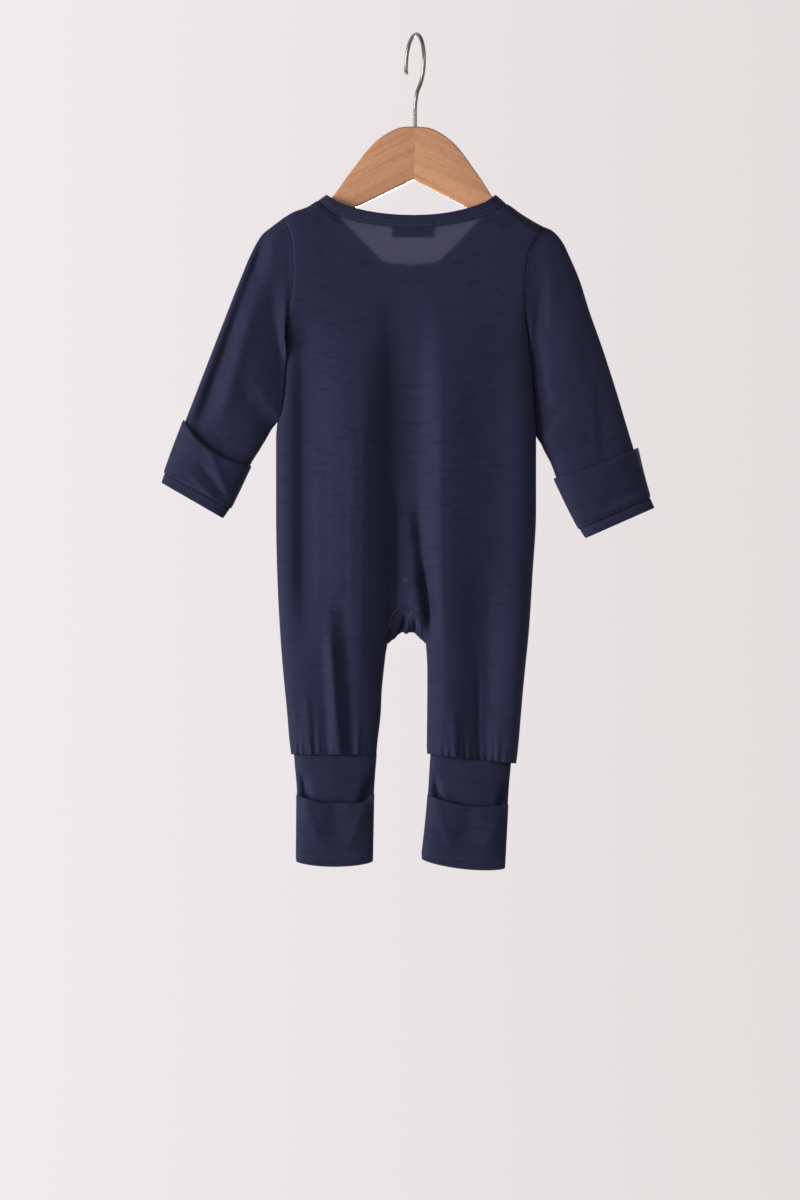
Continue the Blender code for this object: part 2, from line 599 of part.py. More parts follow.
def make_sleeves():
    turn = np.arccos(1 - 2 * np.append(UPPER, 1.0)) / (2 * math.pi)
    around = np.concatenate([turn, 1 - turn[-2:0:-1]])
    half = turn[1:-1]
    for side in (LEFT, RIGHT):
        word = SIDE_WORD[side]
        grid = sleeve_grid(side, around)
        normal = facing(outward(grid, ring=True), grid - ring_axis(grid))
        inner = grid - CLOTH * normal
        inner[0, :, 0] = side * np.maximum(side * inner[0, :, 0], side * grid[0, :, 0])
        wall(f"sleeve_{word}", grid, inner, JERSEY, ring=True)
        outer_x, outer_z, inner_x, inner_z = BAND_END[side]
        end = SLEEVE[side][-1]
        step = unit(np.array([outer_x + inner_x - end[0] - end[2], outer_z + inner_z - end[1] - end[3]]))
        last = grid[-1]
        start = last + SEAM * np.array([step[0], 0, step[1]])
        s = np.cos(2 * math.pi * around)
        face = np.where(np.sin(2 * math.pi * around) >= 0, BACK, FRONT)
        stop = section(s, face, (outer_x, outer_z), (inner_x, inner_z), BAND_DEPTH, BAND_POWER)
        band = np.stack([start, (start + stop) / 2, stop])
        band_normal = facing(outward(band, ring=True), band - ring_axis(band))
        wall(
            f"sleeve_band_{word}",
            band + (BINDING - CLOTH) * band_normal,
            band - CLOTH * band_normal,
            BINDING_JERSEY,
            ring=True,
        )
        first = FLAP_FROM[side]
        flap_base = sleeve_grid(side, half)[first:]
        away = flap_base - ring_axis(sleeve_grid(side, around))[first:]
        flap_normal = facing(outward(flap_base), away)
        rows = np.linspace(1, 0, len(flap_base))[:, None, None] ** 2
        lift = SEAM + FLAP_LIFT * rows * np.sin(2 * math.pi * half)[None, :, None] ** 2
        wall(
            f"mitten_flap_{word}",
            flap_base + (lift + CLOTH) * flap_normal,
            flap_base + lift * flap_normal,
            JERSEY,
        )


def make_cuffs():
    """Flattened tubes from the legs' gathered seams to the ankles."""
    turn = 2 * math.pi * np.arange(CUFF_SIDES) / CUFF_SIDES
    face = np.where(np.sin(turn) > 0, BACK, FRONT)
    for side in (LEFT, RIGHT):
        grid = np.stack([cuff_point(side, np.cos(turn), row[0], face, 0.0) for row in CUFF[side]])
        normal = facing(outward(grid, ring=True), grid - ring_axis(grid))
        normal[0] = unit(normal[0] * [1, 1, 0])
        normal[-1] = unit(normal[-1] * [1, 1, 0])
        wall(f"ankle_cuff_{SIDE_WORD[side]}", grid, grid - CLOTH * normal, JERSEY, ring=True)


def make_foot_flaps():
    """Each flap starts at its free edge on the back, runs down, and turns under to the cuff's front edge."""
    s = FOOT_SIDE * np.cos(math.pi * np.linspace(0, 1, 11))
    squash = (1 - abs(s) ** TUBE_POWER) ** (1 / TUBE_POWER)
    for side in (LEFT, RIGHT):
        mouth = smooth_steps(FOOT_MOUTH[side], (1 + s) / 2)
        bottom = CUFF[side][-1][0]
        rows = []
        for part in (0.0, 0.07, 0.35, 0.7, 1.0):
            z = mouth * (1 - part) + bottom * part
            rows.append(cuff_point(side, s, z, BACK, LAP + FLAP_LIFT * (1 - part) ** 2 * squash))
        for turn in (0.25, 0.5, 0.75, 1.0):
            angle = math.pi * turn
            low = cuff_point(side, s, bottom + 0 * s, BACK if turn <= 0.5 else FRONT, LAP * (1 - turn))
            low[:, 1] *= abs(math.cos(angle))
            low[:, 2] -= SEAM * turn + (FOOT_DROP * math.sin(angle)) * squash**0.7
            rows.append(low)
        grid = np.stack(rows)
        away = grid - np.array([(CUFF[side][-1][1] + CUFF[side][-1][2]) / 2, 0.0, bottom])
        away[:-4, :, 2] = 0.0
        normal = facing(outward(grid), away)
        normal[-1] = unit(normal[-1] * [1, 1, 0])
        wall(f"foot_flap_{SIDE_WORD[side]}", grid, grid - CLOTH * normal, JERSEY)


def cuff_point(side, s, z, face, grow):
    """Points of a cuff's surface at shares s of its half width and heights z, moved out by grow."""
    outer_x = smooth_steps(CUFF[side], z, 1)
    inner_x = smooth_steps(CUFF[side], z, 2)
    middle, half = (outer_x + inner_x) / 2, abs(outer_x - inner_x) / 2
    x = middle + side * (half + grow) * s
    squash = np.clip(1 - abs(s) ** TUBE_POWER, 0, 1) ** (1 / TUBE_POWER)
    y = face * (smooth_steps(CUFF[side], z, 3) + grow) * squash
    return np.stack([x, y, z - CUFF_TILT[side] * (x - middle)], axis=-1)


def neckband_rows():
    """Seam and free edge of the neckband, from the zip's left, round the back, to the zip's right."""
    rows = []
    for side, face, backwards in (
        (LEFT, FRONT, True),
        (LEFT, BACK, False),
        (RIGHT, BACK, True),
        (RIGHT, FRONT, False),
    ):
        table = NECK[side, face]
        shares = NECK_SHARES[::-1] if backwards else NECK_SHARES
        values = [smooth_steps(table, shares, k) for k in range(1, 7)]
        seam = np.stack([values[0], face * values[1], values[2]], axis=-1)
        edge = np.stack([values[3], face * values[4], values[5]], axis=-1)
        if rows:
            seam, edge = seam[1:], edge[1:]
        rows += list(zip(seam, edge))
    return np.array([a for a, _ in rows]), np.array([b for _, b in rows])


def make_neckband():
    seam, edge = neckband_rows()
    across = unit(edge - seam)
    grid = np.stack([seam + SEAM * across, (seam + edge) / 2, edge])
    away = grid * [0, 1, 0]
    crest = abs(grid[..., 1:2]) < 6
    away = np.where(crest, away + np.array([0.0, 0.0, 8.0]), away)
    normal = facing(outward(grid), away)
    wall("neckband", grid, grid - BINDING * normal, BINDING_JERSEY)


def make_label():
    x = np.linspace(LABEL_X[0], LABEL_X[1], 5)
    z = np.linspace(LABEL_Z[0], LABEL_Z[1], 3)
    z, x = np.meshgrid(z, x, indexing="ij")
    y = LABEL_BOW * x**2 - LABEL_DEPTH
    grid = np.stack([x, y, z], axis=-1)
    wall("neck_label", grid, grid + [0, LABEL_T, 0], LABEL_WEAVE)


def front_middle_y(z):
    """How far forward the front's middle line stands."""
    x = smooth_steps(MIDDLE, z)
    return smooth_steps(BODY_DEPTH, z) + fold_height(FRONT_FOLDS, x, z)


def make_zip():
    """Two tapes behind the fronts' edges, the chain between the edges, a slider, and its pull tab."""
    edge = upper_rows(LEFT, FRONT, UPPER[:-1], np.array([1.0]))[:, 0, 2]
    levels = body_levels(LEFT)
    under_band = np.array([ZIP_TOP_Z, (ZIP_TOP_Z + edge[0]) / 2])
    z = np.concatenate([under_band, edge, levels[levels >= ZIP_BOTTOM_Z]])
    middle, y = smooth_steps(MIDDLE, z), front_middle_y(z)
    y[z >= edge[0]] -= BAND_SINK
    for side in (LEFT, RIGHT):
        columns = [
            np.stack([middle + side * offset, y - CLOTH - SEAM - sink, z], axis=-1)
            for offset, sink in ((TAPE_INNER, 0.0), (ZIP_HALF, 0.0), (TAPE_W, TAPE_SINK))
        ]
        grid = np.stack(columns, axis=1)
        wall(f"zip_tape_{SIDE_WORD[side]}", grid, grid - [0, TAPE_T, 0], ZIP_TAPE)
    z[0] -= CHAIN_STOP
    z[-1] += CHAIN_STOP
    columns = [np.stack([middle + k * CHAIN_HALF, y - CLOTH, z], axis=-1) for k in (-1, 1)]
    grid = np.stack(columns, axis=1)
    wall("zip_chain", grid + [0, CHAIN_T, 0], grid, ZIP_PLASTIC)


def box(low, high):
    """Corners and faces of an upright block, for joining into one body with others."""
    points = [(x, y, z) for x in (low[0], high[0]) for y in (low[1], high[1]) for z in (low[2], high[2])]
    faces = [(0, 1, 3, 2), (4, 6, 7, 5), (0, 4, 5, 1), (2, 3, 7, 6), (0, 2, 6, 4), (1, 5, 7, 3)]
    return points, faces


def block(name, low, high, finish):
    return add_object(name, *box(low, high), finish)


def combine(target, other, operation):
    """A Boolean with a helper that stays out of the model."""
    other.hide_render = True
    other.display_type = "WIRE"
    modifier = target.modifiers.new(other.name, "BOOLEAN")
    modifier.operation = operation
    modifier.solver = "EXACT"
    modifier.object = other


def make_slider():
    """A plate over the chain with a flange down each side of it, and a bridge for the pull tab."""
    x = float(smooth_steps(MIDDLE, SLIDER_Z))
    y = float(front_middle_y(np.array([SLIDER_Z]))[0]) - CLOTH + CHAIN_T + SLIDER_GAP
    half_w, half_h = SLIDER_W / 2, SLIDER_H / 2
    low, high = SLIDER_Z - half_h, SLIDER_Z + half_h
    slider = block("zip_slider", (x - half_w, y, low), (x + half_w, y + PLATE_T, high), ZIP_METAL)
    for side in (LEFT, RIGHT):
        near, far = CHAIN_HALF + SLIDER_GAP, CHAIN_HALF + SLIDER_GAP + FLANGE_T
        flange = block(
            f"flange_{SIDE_WORD[side]}",
            (x + min(side * near, side * far), y - FLANGE_H, low + 1.0),
            (x + max(side * near, side * far), y + PLATE_T / 2, high - 1.0),
            ZIP_METAL,
        )
        combine(slider, flange, "UNION")
    axis_y = y + PLATE_T + PULL_GAP + PULL_BAR / 2
    top = axis_y + PULL_BAR / 2 + PULL_GAP
    bridge = block(
        "bridge",
        (x - BRIDGE_W / 2, y + PLATE_T / 2, SLIDER_Z - BRIDGE_H / 2),
        (x + BRIDGE_W / 2, top + BRIDGE_T, SLIDER_Z + BRIDGE_H / 2),
        ZIP_METAL,
    )
    reach = BRIDGE_H / 2 - BRIDGE_T
    eye = block("eye", (x - 3, y + PLATE_T, SLIDER_Z - reach), (x + 3, top, SLIDER_Z + reach), ZIP_METAL)
    combine(bridge, eye, "DIFFERENCE")
    combine(slider, bridge, "UNION")
    pull = block(
        "zip_pull",
        (x - PULL_W / 2, axis_y - PULL_BAR / 2, SLIDER_Z + PULL_BAR / 2 - PULL_L),
        (x + PULL_W / 2, axis_y + PULL_BAR / 2, SLIDER_Z + PULL_BAR / 2),
        ZIP_METAL,
    )
    window = block(
        "window",
        (x - PULL_WINDOW_W / 2, axis_y - 2, SLIDER_Z - PULL_BAR / 2 - PULL_WINDOW_H),
        (x + PULL_WINDOW_W / 2, axis_y + 2, SLIDER_Z - PULL_BAR / 2),
        ZIP_METAL,
    )
    combine(pull, window, "DIFFERENCE")


def tilted(points):
    """Points of the hanger turned about the middle of its top, so that the right arm hangs lower."""
    x, z = points[..., 0].copy(), points[..., 2] - HANGER_TOP_Z
    cos, sin = math.cos(HANGER_TILT), math.sin(HANGER_TILT)
    turned = points.copy()
    turned[..., 0] = x * cos + z * sin
    turned[..., 2] = HANGER_TOP_Z + z * cos - x * sin
    return turned


def make_arm(side):
    """One wooden half: upright sections with rounded corners, from the flat joint out to the tip."""
    x = np.array([row[0] for row in ARM_TOP])
    top = np.array([row[1] for row in ARM_TOP])
    bottom = ARM_NOTCH_Z - ARM_FALL * x
    near_tip = np.clip((x - (ARM_TIP_X - ARM_TIP_R)) / ARM_TIP_R, 0, 1)
    bottom = bottom + ARM_TIP_R * (1 - np.sqrt(1 - near_tip**2))
    half_t = ARM_HALF_T - (ARM_HALF_T - ARM_EDGE_R) * near_tip**2 * 0.4
    turns = np.linspace(0, 2 * math.pi, 16, endpoint=False) + math.pi / 16
    rows = []
    for px, high, low, thick in zip(x, top, bottom, half_t):
        reach = (high - low) / 2 - ARM_EDGE_R
        y = np.sign(np.cos(turns)) * (thick - ARM_EDGE_R) + ARM_EDGE_R * np.cos(turns)
        z = (high + low) / 2 + np.sign(np.sin(turns)) * max(reach, 0.2) + ARM_EDGE_R * np.sin(turns)
        rows.append(np.stack([np.full(16, side * px), y, z], axis=-1))
    grid = tilted(np.stack(rows))
    count = len(rows)
    at = np.arange(count * 16).reshape(count, 16)
    faces = []
    for r in range(count - 1):
        for c in range(16):
            d = (c + 1) % 16
            faces.append((int(at[r, c]), int(at[r, d]), int(at[r + 1, d]), int(at[r + 1, c])))
    faces.append(tuple(int(i) for i in at[0]))
    faces.append(tuple(int(i) for i in at[-1]))
    arm = add_object(f"hanger_arm_{SIDE_WORD[side]}", grid.reshape(-1, 3), faces, WOOD)
    combine(arm, STEM_HOLE, "DIFFERENCE")


def hook_path():
    """The wire's middle line: tip, round over the rod, then a counter-curve into the upright stem."""
    sweep = np.radians(np.linspace(195, -62, 26))
    reach = HOOK_R * np.cos(sweep)
    z = HOOK_R * np.sin(sweep) + WIRE_R - HOOK_R
    end = math.radians(62)
    counter_r = reach[-1] / (1 - math.cos(end))
    back = np.linspace(end, 0, 8)[1:]
    reach = np.concatenate([reach, counter_r * (1 - np.cos(back)), [0.0, 0.0]])
    z_end = z[-1] - counter_r * (math.sin(end) - np.sin(back))
    z = np.concatenate([z, z_end, [HANGER_TOP_Z + 2, STEM_END_Z]])
    return np.stack([reach * math.sin(HOOK_TURN), -reach * math.cos(HOOK_TURN), z], axis=-1)


def make_hook():
    curve = bpy.data.curves.new("hanger_hook", "CURVE")
    curve.dimensions = "3D"
    curve.bevel_depth = WIRE_R * MM
    curve.bevel_resolution = 2
    curve.use_fill_caps = True
    path = hook_path()
    spline = curve.splines.new("POLY")
    spline.points.add(len(path) - 1)
    for point, place in zip(spline.points, path):
        point.co = (*(float(v) * MM for v in place), 1.0)
    curve.materials.append(STEEL)
    bpy.context.scene.collection.objects.link(bpy.data.objects.new("hanger_hook", curve))


def make_stem_hole():
    """The hole in the wood for the hook's stem, a cutter."""
    turns = np.linspace(0, 2 * math.pi, 12, endpoint=False)
    ring = np.stack([np.cos(turns), np.sin(turns)], axis=-1) * (WIRE_R + SEAM)
    low = [(x, y, STEM_END_Z - SEAM) for x, y in ring]
    high = [(x, y, HANGER_TOP_Z + 10) for x, y in ring]
    sides = [(i, (i + 1) % 12, (i + 1) % 12 + 12, i + 12) for i in range(12)]
    hole = add_object("stem_hole", low + high, [*sides, tuple(range(12)), tuple(range(12, 24))], STEEL)
    hole.hide_render = True
    hole.display_type = "WIRE"
    return hole


for old in list(bpy.data.objects):
    bpy.data.objects.remove(old)
JERSEY = material("navy_jersey", (0.022, 0.022, 0.05), 0.8)
BINDING_JERSEY = material("navy_binding", (0.024, 0.024, 0.052), 0.8)
LABEL_WEAVE = material("woven_label", (0.02, 0.02, 0.04), 0.6)
ZIP_TAPE = material("zip_tape", (0.02, 0.02, 0.045), 0.8)
ZIP_METAL = material("zip_metal", (0.02, 0.02, 0.045), 0.35)
WOOD = material("pale_beech", (0.45, 0.25, 0.14), 0.5)
STEEL = material("satin_steel", (0.6, 0.58, 0.54), 0.3, 1.0)
ZIP_PLASTIC = material("zip_plastic", (0.02, 0.02, 0.045), 0.4)
make_back()
make_fronts()
make_gusset()
make_sleeves()
make_cuffs()
make_foot_flaps()
make_neckband()
make_label()
make_zip()
make_slider()
STEM_HOLE = make_stem_hole()
make_arm(LEFT)
make_arm(RIGHT)
make_hook()
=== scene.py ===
"""A baby's onesie pajama of thin navy jersey, hung by its shoulders on a wooden hanger.

Sizes are millimetres until a mesh is made, and MM turns them into metres. X runs across the
garment, -Y is the side of its back, and Z is up from the point where the hanger's hook bears.
"""

import math

import bmesh
import bpy
import numpy as np
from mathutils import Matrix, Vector


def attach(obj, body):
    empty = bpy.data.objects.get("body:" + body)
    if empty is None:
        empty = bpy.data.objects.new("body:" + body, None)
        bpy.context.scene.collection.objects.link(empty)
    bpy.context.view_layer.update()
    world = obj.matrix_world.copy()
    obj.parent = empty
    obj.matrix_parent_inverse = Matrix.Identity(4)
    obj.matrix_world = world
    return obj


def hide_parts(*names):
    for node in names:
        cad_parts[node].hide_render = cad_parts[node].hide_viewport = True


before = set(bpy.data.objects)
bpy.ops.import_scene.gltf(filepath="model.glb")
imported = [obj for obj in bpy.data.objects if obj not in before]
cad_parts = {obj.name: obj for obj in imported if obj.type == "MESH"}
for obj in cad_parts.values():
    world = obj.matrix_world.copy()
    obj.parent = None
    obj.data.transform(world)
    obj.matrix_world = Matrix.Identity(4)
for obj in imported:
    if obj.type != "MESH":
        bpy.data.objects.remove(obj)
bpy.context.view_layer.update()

# ---------------------------------------------------------------- studio
# A pale drum of painted paper, far round the hanging garment, is floor and backdrop in one.
# # It glows by itself, and its glow is painted light: brighter at the left near the window, dimmer away from
# it.
# It only shows, and lights nothing: a large soft window stands at the left of the garment's back,
# with a weak one ahead on the right and another behind, so that thin cloth glows a little.
MM = 0.001
EYE_X, EYE_Z, EYE_DISTANCE = -0.01305, -0.4902, 3.0
VIEW_HEIGHT = 1.044  # what the camera takes in at the garment
FILM = 36.0
DRUM_R, DRUM_FLOOR, DRUM_TOP, DRUM_FOOT_R = 6.0, -2.1, 9.0, 0.8
# painted light: the backdrop's glow near the window, and its dimmer glow away from it
PAPER_PAINTED_BRIGHT, PAPER_PAINTED_DIM = (0.875, 0.832, 0.850), (0.780, 0.720, 0.727)  # near the window, and away from it
AMBIENT = (0.235, 0.232, 0.245)


def grid_quads(rows, cols, ring=False):
    """Quads between neighbours of a grid stored row by row. A ring joins its last column to its first."""
    at = np.arange(rows * cols).reshape(rows, cols)
    if ring:
        at = np.concatenate([at, at[:, :1]], axis=1)
    return np.stack([at[:-1, :-1], at[:-1, 1:], at[1:, 1:], at[1:, :-1]], axis=-1).reshape(-1, 4)


def link_mesh(name, points, faces, material):
    """A smooth-shaded mesh object from points in metres."""
    mesh = bpy.data.meshes.new(name)
    mesh.from_pydata(np.asarray(points).tolist(), [], [list(map(int, face)) for face in faces])
    mesh.shade_smooth()
    mesh.materials.append(material)
    made = bpy.data.objects.new(name, mesh)
    bpy.context.scene.collection.objects.link(made)
    return made


def node_material(name):
    """A new node material, with its tree and its main shader."""
    made = bpy.data.materials.new(name)
    made.use_nodes = True
    return made, made.node_tree, made.node_tree.nodes["Principled BSDF"]


def add_node(tree, kind, settings=None, **inputs):
    """A node with its properties set, and its inputs given as values or as sockets to link."""
    node = tree.nodes.new(kind)
    for key, value in (settings or {}).items():
        setattr(node, key, value)
    for key, value in inputs.items():
        socket = node.inputs[key.replace("_", " ")]
        if isinstance(value, bpy.types.NodeSocket):
            tree.links.new(value, socket)
        else:
            socket.default_value = value
    return node


def make_drum():
    """A turned profile: flat floor, a quarter-round foot of radius DRUM_FOOT_R, upright wall."""
    bend = np.linspace(0, math.pi / 2, 12)
    foot_r = DRUM_R - DRUM_FOOT_R * (1 - np.sin(bend))
    foot_z = DRUM_FLOOR + DRUM_FOOT_R * (1 - np.cos(bend))
    radius = np.concatenate([[0.01, 2.0], foot_r, [DRUM_R]])
    height = np.concatenate([[DRUM_FLOOR, DRUM_FLOOR], foot_z, [DRUM_TOP]])
    turn = np.linspace(0, 2 * math.pi, 96, endpoint=False)
    points = np.stack(
        [radius[:, None] * np.cos(turn), radius[:, None] * np.sin(turn), height[:, None] + 0 * turn], axis=-1
    )
    paper, tree, shader = node_material("backdrop paper, painted glow")
    place = add_node(tree, "ShaderNodeTexCoord")
    across = add_node(tree, "ShaderNodeSeparateXYZ", Vector=place.outputs["Object"])
    spread = add_node(
        tree,
        "ShaderNodeMapRange",
        Value=across.outputs["X"],
        From_Min=-1.1,
        From_Max=1.1,
        To_Min=0.0,
        To_Max=1.0,
    )
    # Painted light: the glow fades from bright at the left, near the window, to dim at the right.
    tone = add_node(tree, "ShaderNodeValToRGB", Fac=spread.outputs["Result"])
    tone.color_ramp.elements[0].color = (*PAPER_PAINTED_BRIGHT, 1)
    tone.color_ramp.elements[1].color = (*PAPER_PAINTED_DIM, 1)
    glow = add_node(tree, "ShaderNodeEmission", Color=tone.outputs["Color"])
    tree.nodes.remove(shader)
    tree.links.new(glow.outputs["Emission"], tree.nodes["Material Output"].inputs["Surface"])
    drum = link_mesh("backdrop", points.reshape(-1, 3), grid_quads(*points.shape[:2], ring=True), paper)
    drum.visible_diffuse = False
    drum.visible_transmission = False
    drum.visible_shadow = False


def add_window(name, place, target, size, power, colour=(1.0, 1.0, 1.0)):
    """A soft rectangular light of size (width, height) at place, turned to target, unseen by the camera."""
    lamp = bpy.data.lights.new(name, "AREA")
    lamp.shape = "RECTANGLE"
    lamp.size, lamp.size_y = size
    lamp.energy = power
    lamp.color = colour
    made = bpy.data.objects.new(name, lamp)
    made.location = place
    way = Vector(target) - Vector(place)
    made.rotation_euler = way.to_track_quat("-Z", "Y").to_euler()
    made.visible_camera = False
    bpy.context.scene.collection.objects.link(made)


def make_camera():
    """Level with the garment's middle, square to its back."""
    lens = bpy.data.cameras.new("camera")
    lens.sensor_fit = "AUTO"
    lens.sensor_width = FILM
    lens.lens = FILM * EYE_DISTANCE / VIEW_HEIGHT
    lens.clip_end = 50.0
    made = bpy.data.objects.new("camera", lens)
    made.location = (EYE_X, -EYE_DISTANCE, EYE_Z)
    made.rotation_euler = (math.pi / 2, 0, 0)
    bpy.context.scene.collection.objects.link(made)
    bpy.context.scene.camera = made


def make_world():
    world = bpy.data.worlds.new("room")
    world.use_nodes = True
    world.node_tree.nodes["Background"].inputs["Color"].default_value = (*AMBIENT, 1)
    world.node_tree.nodes["Background"].inputs["Strength"].default_value = 1.0
    bpy.context.scene.world = world


make_drum()
make_camera()
make_world()
add_window("window", (-2.45, -1.0, -0.65), (0.0, 0.0, -0.42), (1.1, 1.9), 134.0, (1.0, 0.985, 0.97))
add_window("far window", (1.6, -2.2, 0.4), (0.0, 0.0, -0.4), (1.4, 1.4), 12.0)
add_window("window behind", (0.1, 2.9, -0.16), (0.0, 0.0, -0.25), (0.34, 0.34), 150.0)
bpy.context.scene.view_settings.view_transform = "Standard"

# ---------------------------------------------------------------- hanger: the wooden arms
# Two flat halves of pale beech, sawn with the grain running down each arm and glued at the middle.
# Their edges are rounded over and the wood has a thin satin varnish. The left half's colours are a little
# darker than the right's, as painted shade.
LEFT, RIGHT = -1, 1
SIDE_WORD = {LEFT: "left", RIGHT: "right"}
# distance from the joint, top
ARM_TOP = [
    (0.0, -78.5),
    (14.0, -80.1),
    (24.7, -85.4),
    (34.6, -93.0),
    (42.6, -102.0),
    (50.0, -112.0),
    (58.0, -122.8),
    (70.0, -140.3),
    (75.0, -145.0),
    (80.0, -149.0),
    (85.0, -151.6),
    (95.0, -157.0),
    (107.0, -163.0),
    (117.0, -167.4),
    (123.0, -172.4),
    (126.2, -177.0),
    (127.0, -181.0),
]
ARM_JOINT = 0.03  # half the glue line
ARM_NOTCH_Z, ARM_FALL = -124.3, 0.51
ARM_TIP_X, ARM_TIP_R = 127.0, 4.5
ARM_HALF_T, ARM_EDGE_R = 5.5, 5.2
ARM_CORNER_R = 2.2  # rounding of the long edges
HANGER_TILT = math.radians(1.1)
HANGER_TOP_Z = -78.5
# Grain band tones for each arm; the left arm's copy is darker than the right's, as painted shade
WOOD_BANDS_PALE_LEFT_SHADED = {LEFT: (0.490, 0.234, 0.112), RIGHT: (0.540, 0.266, 0.129)}
WOOD_BANDS_DARK_LEFT_SHADED = {LEFT: (0.371, 0.152, 0.067), RIGHT: (0.432, 0.184, 0.078)}


def smooth_steps(table, at, column=1):
    """A curve through a table's points without overshoot: cubic pieces with limited slopes."""
    rows = sorted(table)
    xs = np.array([row[0] for row in rows], float)
    ys = np.array([row[column] for row in rows], float)
    steps = np.diff(ys) / np.diff(xs)
    slopes = np.concatenate([[steps[0]], (steps[1:] + steps[:-1]) / 2, [steps[-1]]])
    slopes[1:-1][steps[1:] * steps[:-1] <= 0] = 0.0
    slopes[:-1] = np.sign(slopes[:-1]) * np.minimum(abs(slopes[:-1]), 3 * abs(steps))
    slopes[1:] = np.sign(slopes[1:]) * np.minimum(abs(slopes[1:]), 3 * abs(steps))
    at = np.clip(np.asarray(at, float), xs[0], xs[-1])
    i = np.clip(np.searchsorted(xs, at, side="right") - 1, 0, len(xs) - 2)
    h = xs[i + 1] - xs[i]
    t = (at - xs[i]) / h
    start = ys[i] * (2 * t**3 - 3 * t**2 + 1) + slopes[i] * h * (t**3 - 2 * t**2 + t)
    return start + ys[i + 1] * (3 * t**2 - 2 * t**3) + slopes[i + 1] * h * (t**3 - t**2)


def tilted(points):
    """Points of the hanger turned about the middle of its top, so that the right arm hangs lower."""
    x, z = points[..., 0].copy(), points[..., 2] - HANGER_TOP_Z
    cos, sin = math.cos(HANGER_TILT), math.sin(HANGER_TILT)
    turned = points.copy()
    turned[..., 0] = x * cos + z * sin
    turned[..., 2] = HANGER_TOP_Z + z * cos - x * sin
    return turned


def wood(side):
    """Beech: long soft bands and short dark flecks along the arm, a little bump and a satin coat."""
    made, tree, shader = node_material(f"beech {SIDE_WORD[side]}")
    place = add_node(tree, "ShaderNodeTexCoord")
    lean = (0, -side * math.radians(26), 0)
    turned = add_node(tree, "ShaderNodeMapping", Vector=place.outputs["Object"], Rotation=lean)
    long_way = add_node(tree, "ShaderNodeMapping", Vector=turned.outputs["Vector"], Scale=(8, 60, 210))
    bands = add_node(
        tree, "ShaderNodeTexNoise", Vector=long_way.outputs["Vector"], Scale=1.0, Detail=3.0, Distortion=0.7
    )
    short_way = add_node(tree, "ShaderNodeMapping", Vector=turned.outputs["Vector"], Scale=(180, 900, 1500))
    flecks = add_node(tree, "ShaderNodeTexNoise", Vector=short_way.outputs["Vector"], Scale=1.0, Detail=2.0)
    tone = add_node(tree, "ShaderNodeValToRGB", Fac=bands.outputs["Fac"])
    tone.color_ramp.elements[0].position = 0.3
    tone.color_ramp.elements[0].color = (*WOOD_BANDS_DARK_LEFT_SHADED[side], 1)
    tone.color_ramp.elements[1].position = 0.62
    tone.color_ramp.elements[1].color = (*WOOD_BANDS_PALE_LEFT_SHADED[side], 1)
    speck = add_node(tree, "ShaderNodeValToRGB", Fac=flecks.outputs["Fac"])
    speck.color_ramp.elements[0].position = 0.3
    speck.color_ramp.elements[0].color = (0.62, 0.5, 0.42, 1)
    speck.color_ramp.elements[1].position = 0.46
    speck.color_ramp.elements[1].color = (1, 1, 1, 1)
    both = add_node(
        tree, "ShaderNodeMix", {"data_type": "RGBA", "blend_type": "MULTIPLY"}, Factor=0.75
    )
    tree.links.new(tone.outputs["Color"], both.inputs["A"])
    tree.links.new(speck.outputs["Color"], both.inputs["B"])
    tree.links.new(both.outputs["Result"], shader.inputs["Base Color"])
    relief = add_node(tree, "ShaderNodeBump", Strength=0.25, Distance=0.0002, Height=flecks.outputs["Fac"])
    tree.links.new(relief.outputs["Normal"], shader.inputs["Normal"])
    shader.inputs["Roughness"].default_value = 0.5
    shader.inputs["Coat Weight"].default_value = 0.18
    shader.inputs["Coat Roughness"].default_value = 0.35
    return made


def make_arm(side):
    """Upright rounded rectangles, one at each distance x from the joint, from the flat end to the tip."""
    x = np.concatenate([np.linspace(ARM_JOINT, 120, 110), ARM_TIP_X - 7 * np.linspace(1, 0, 26)[1:] ** 2])
    top = smooth_steps(ARM_TOP, x)
    near_tip = np.clip((x - (ARM_TIP_X - ARM_TIP_R)) / ARM_TIP_R, 0, 1)
    bottom = ARM_NOTCH_Z - ARM_FALL * x + ARM_TIP_R * (1 - np.sqrt(1 - near_tip**2))
    thick = ARM_HALF_T - (ARM_HALF_T - ARM_EDGE_R) * near_tip**2 * 0.4
    turn = np.linspace(0, 2 * math.pi, 40, endpoint=False) + math.pi / 40
    reach = np.maximum((top - bottom) / 2, 0.6)[:, None]
    corner = np.minimum(ARM_CORNER_R, reach * 0.95)
    y = np.sign(np.cos(turn)) * (thick[:, None] - corner) + corner * np.cos(turn)
    z = ((top + bottom) / 2)[:, None] + np.sign(np.sin(turn)) * (reach - corner) + corner * np.sin(turn)
    grid = tilted(np.stack([side * x[:, None] + 0 * y, y, z], axis=-1))
    quads = grid_quads(*grid.shape[:2], ring=True)
    ends = [range(40), range(len(x) * 40 - 40, len(x) * 40)]
    faces = [*quads.tolist(), list(ends[0])[::-1], list(ends[1])]
    name = f"arm_{SIDE_WORD[side]}"
    arm = link_mesh(name, grid.reshape(-1, 3) * MM, faces, wood(side))
    turn_out(arm)
    arm.data.set_sharp_from_angle(angle=math.radians(50))
    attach(arm, "garment")
    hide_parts(f"hanger_{name}")


def turn_out(piece):
    """Turns a closed mesh's faces outwards."""
    shape = bmesh.new()
    shape.from_mesh(piece.data)
    bmesh.ops.recalc_face_normals(shape, faces=shape.faces)
    shape.to_mesh(piece.data)
    shape.free()


make_arm(LEFT)
make_arm(RIGHT)

# ---------------------------------------------------------------- hanger: the hook
# One steel wire, drawn bright and tumbled to a satin, bent to a hook and pressed into a hole
# at the middle of the wood.
WIRE_R = 1.7
HOOK_R = 25.0
HOOK_TURN = math.radians(18.0)  # of the hook's plane from the line of sight
STEM_END_Z = -100.0


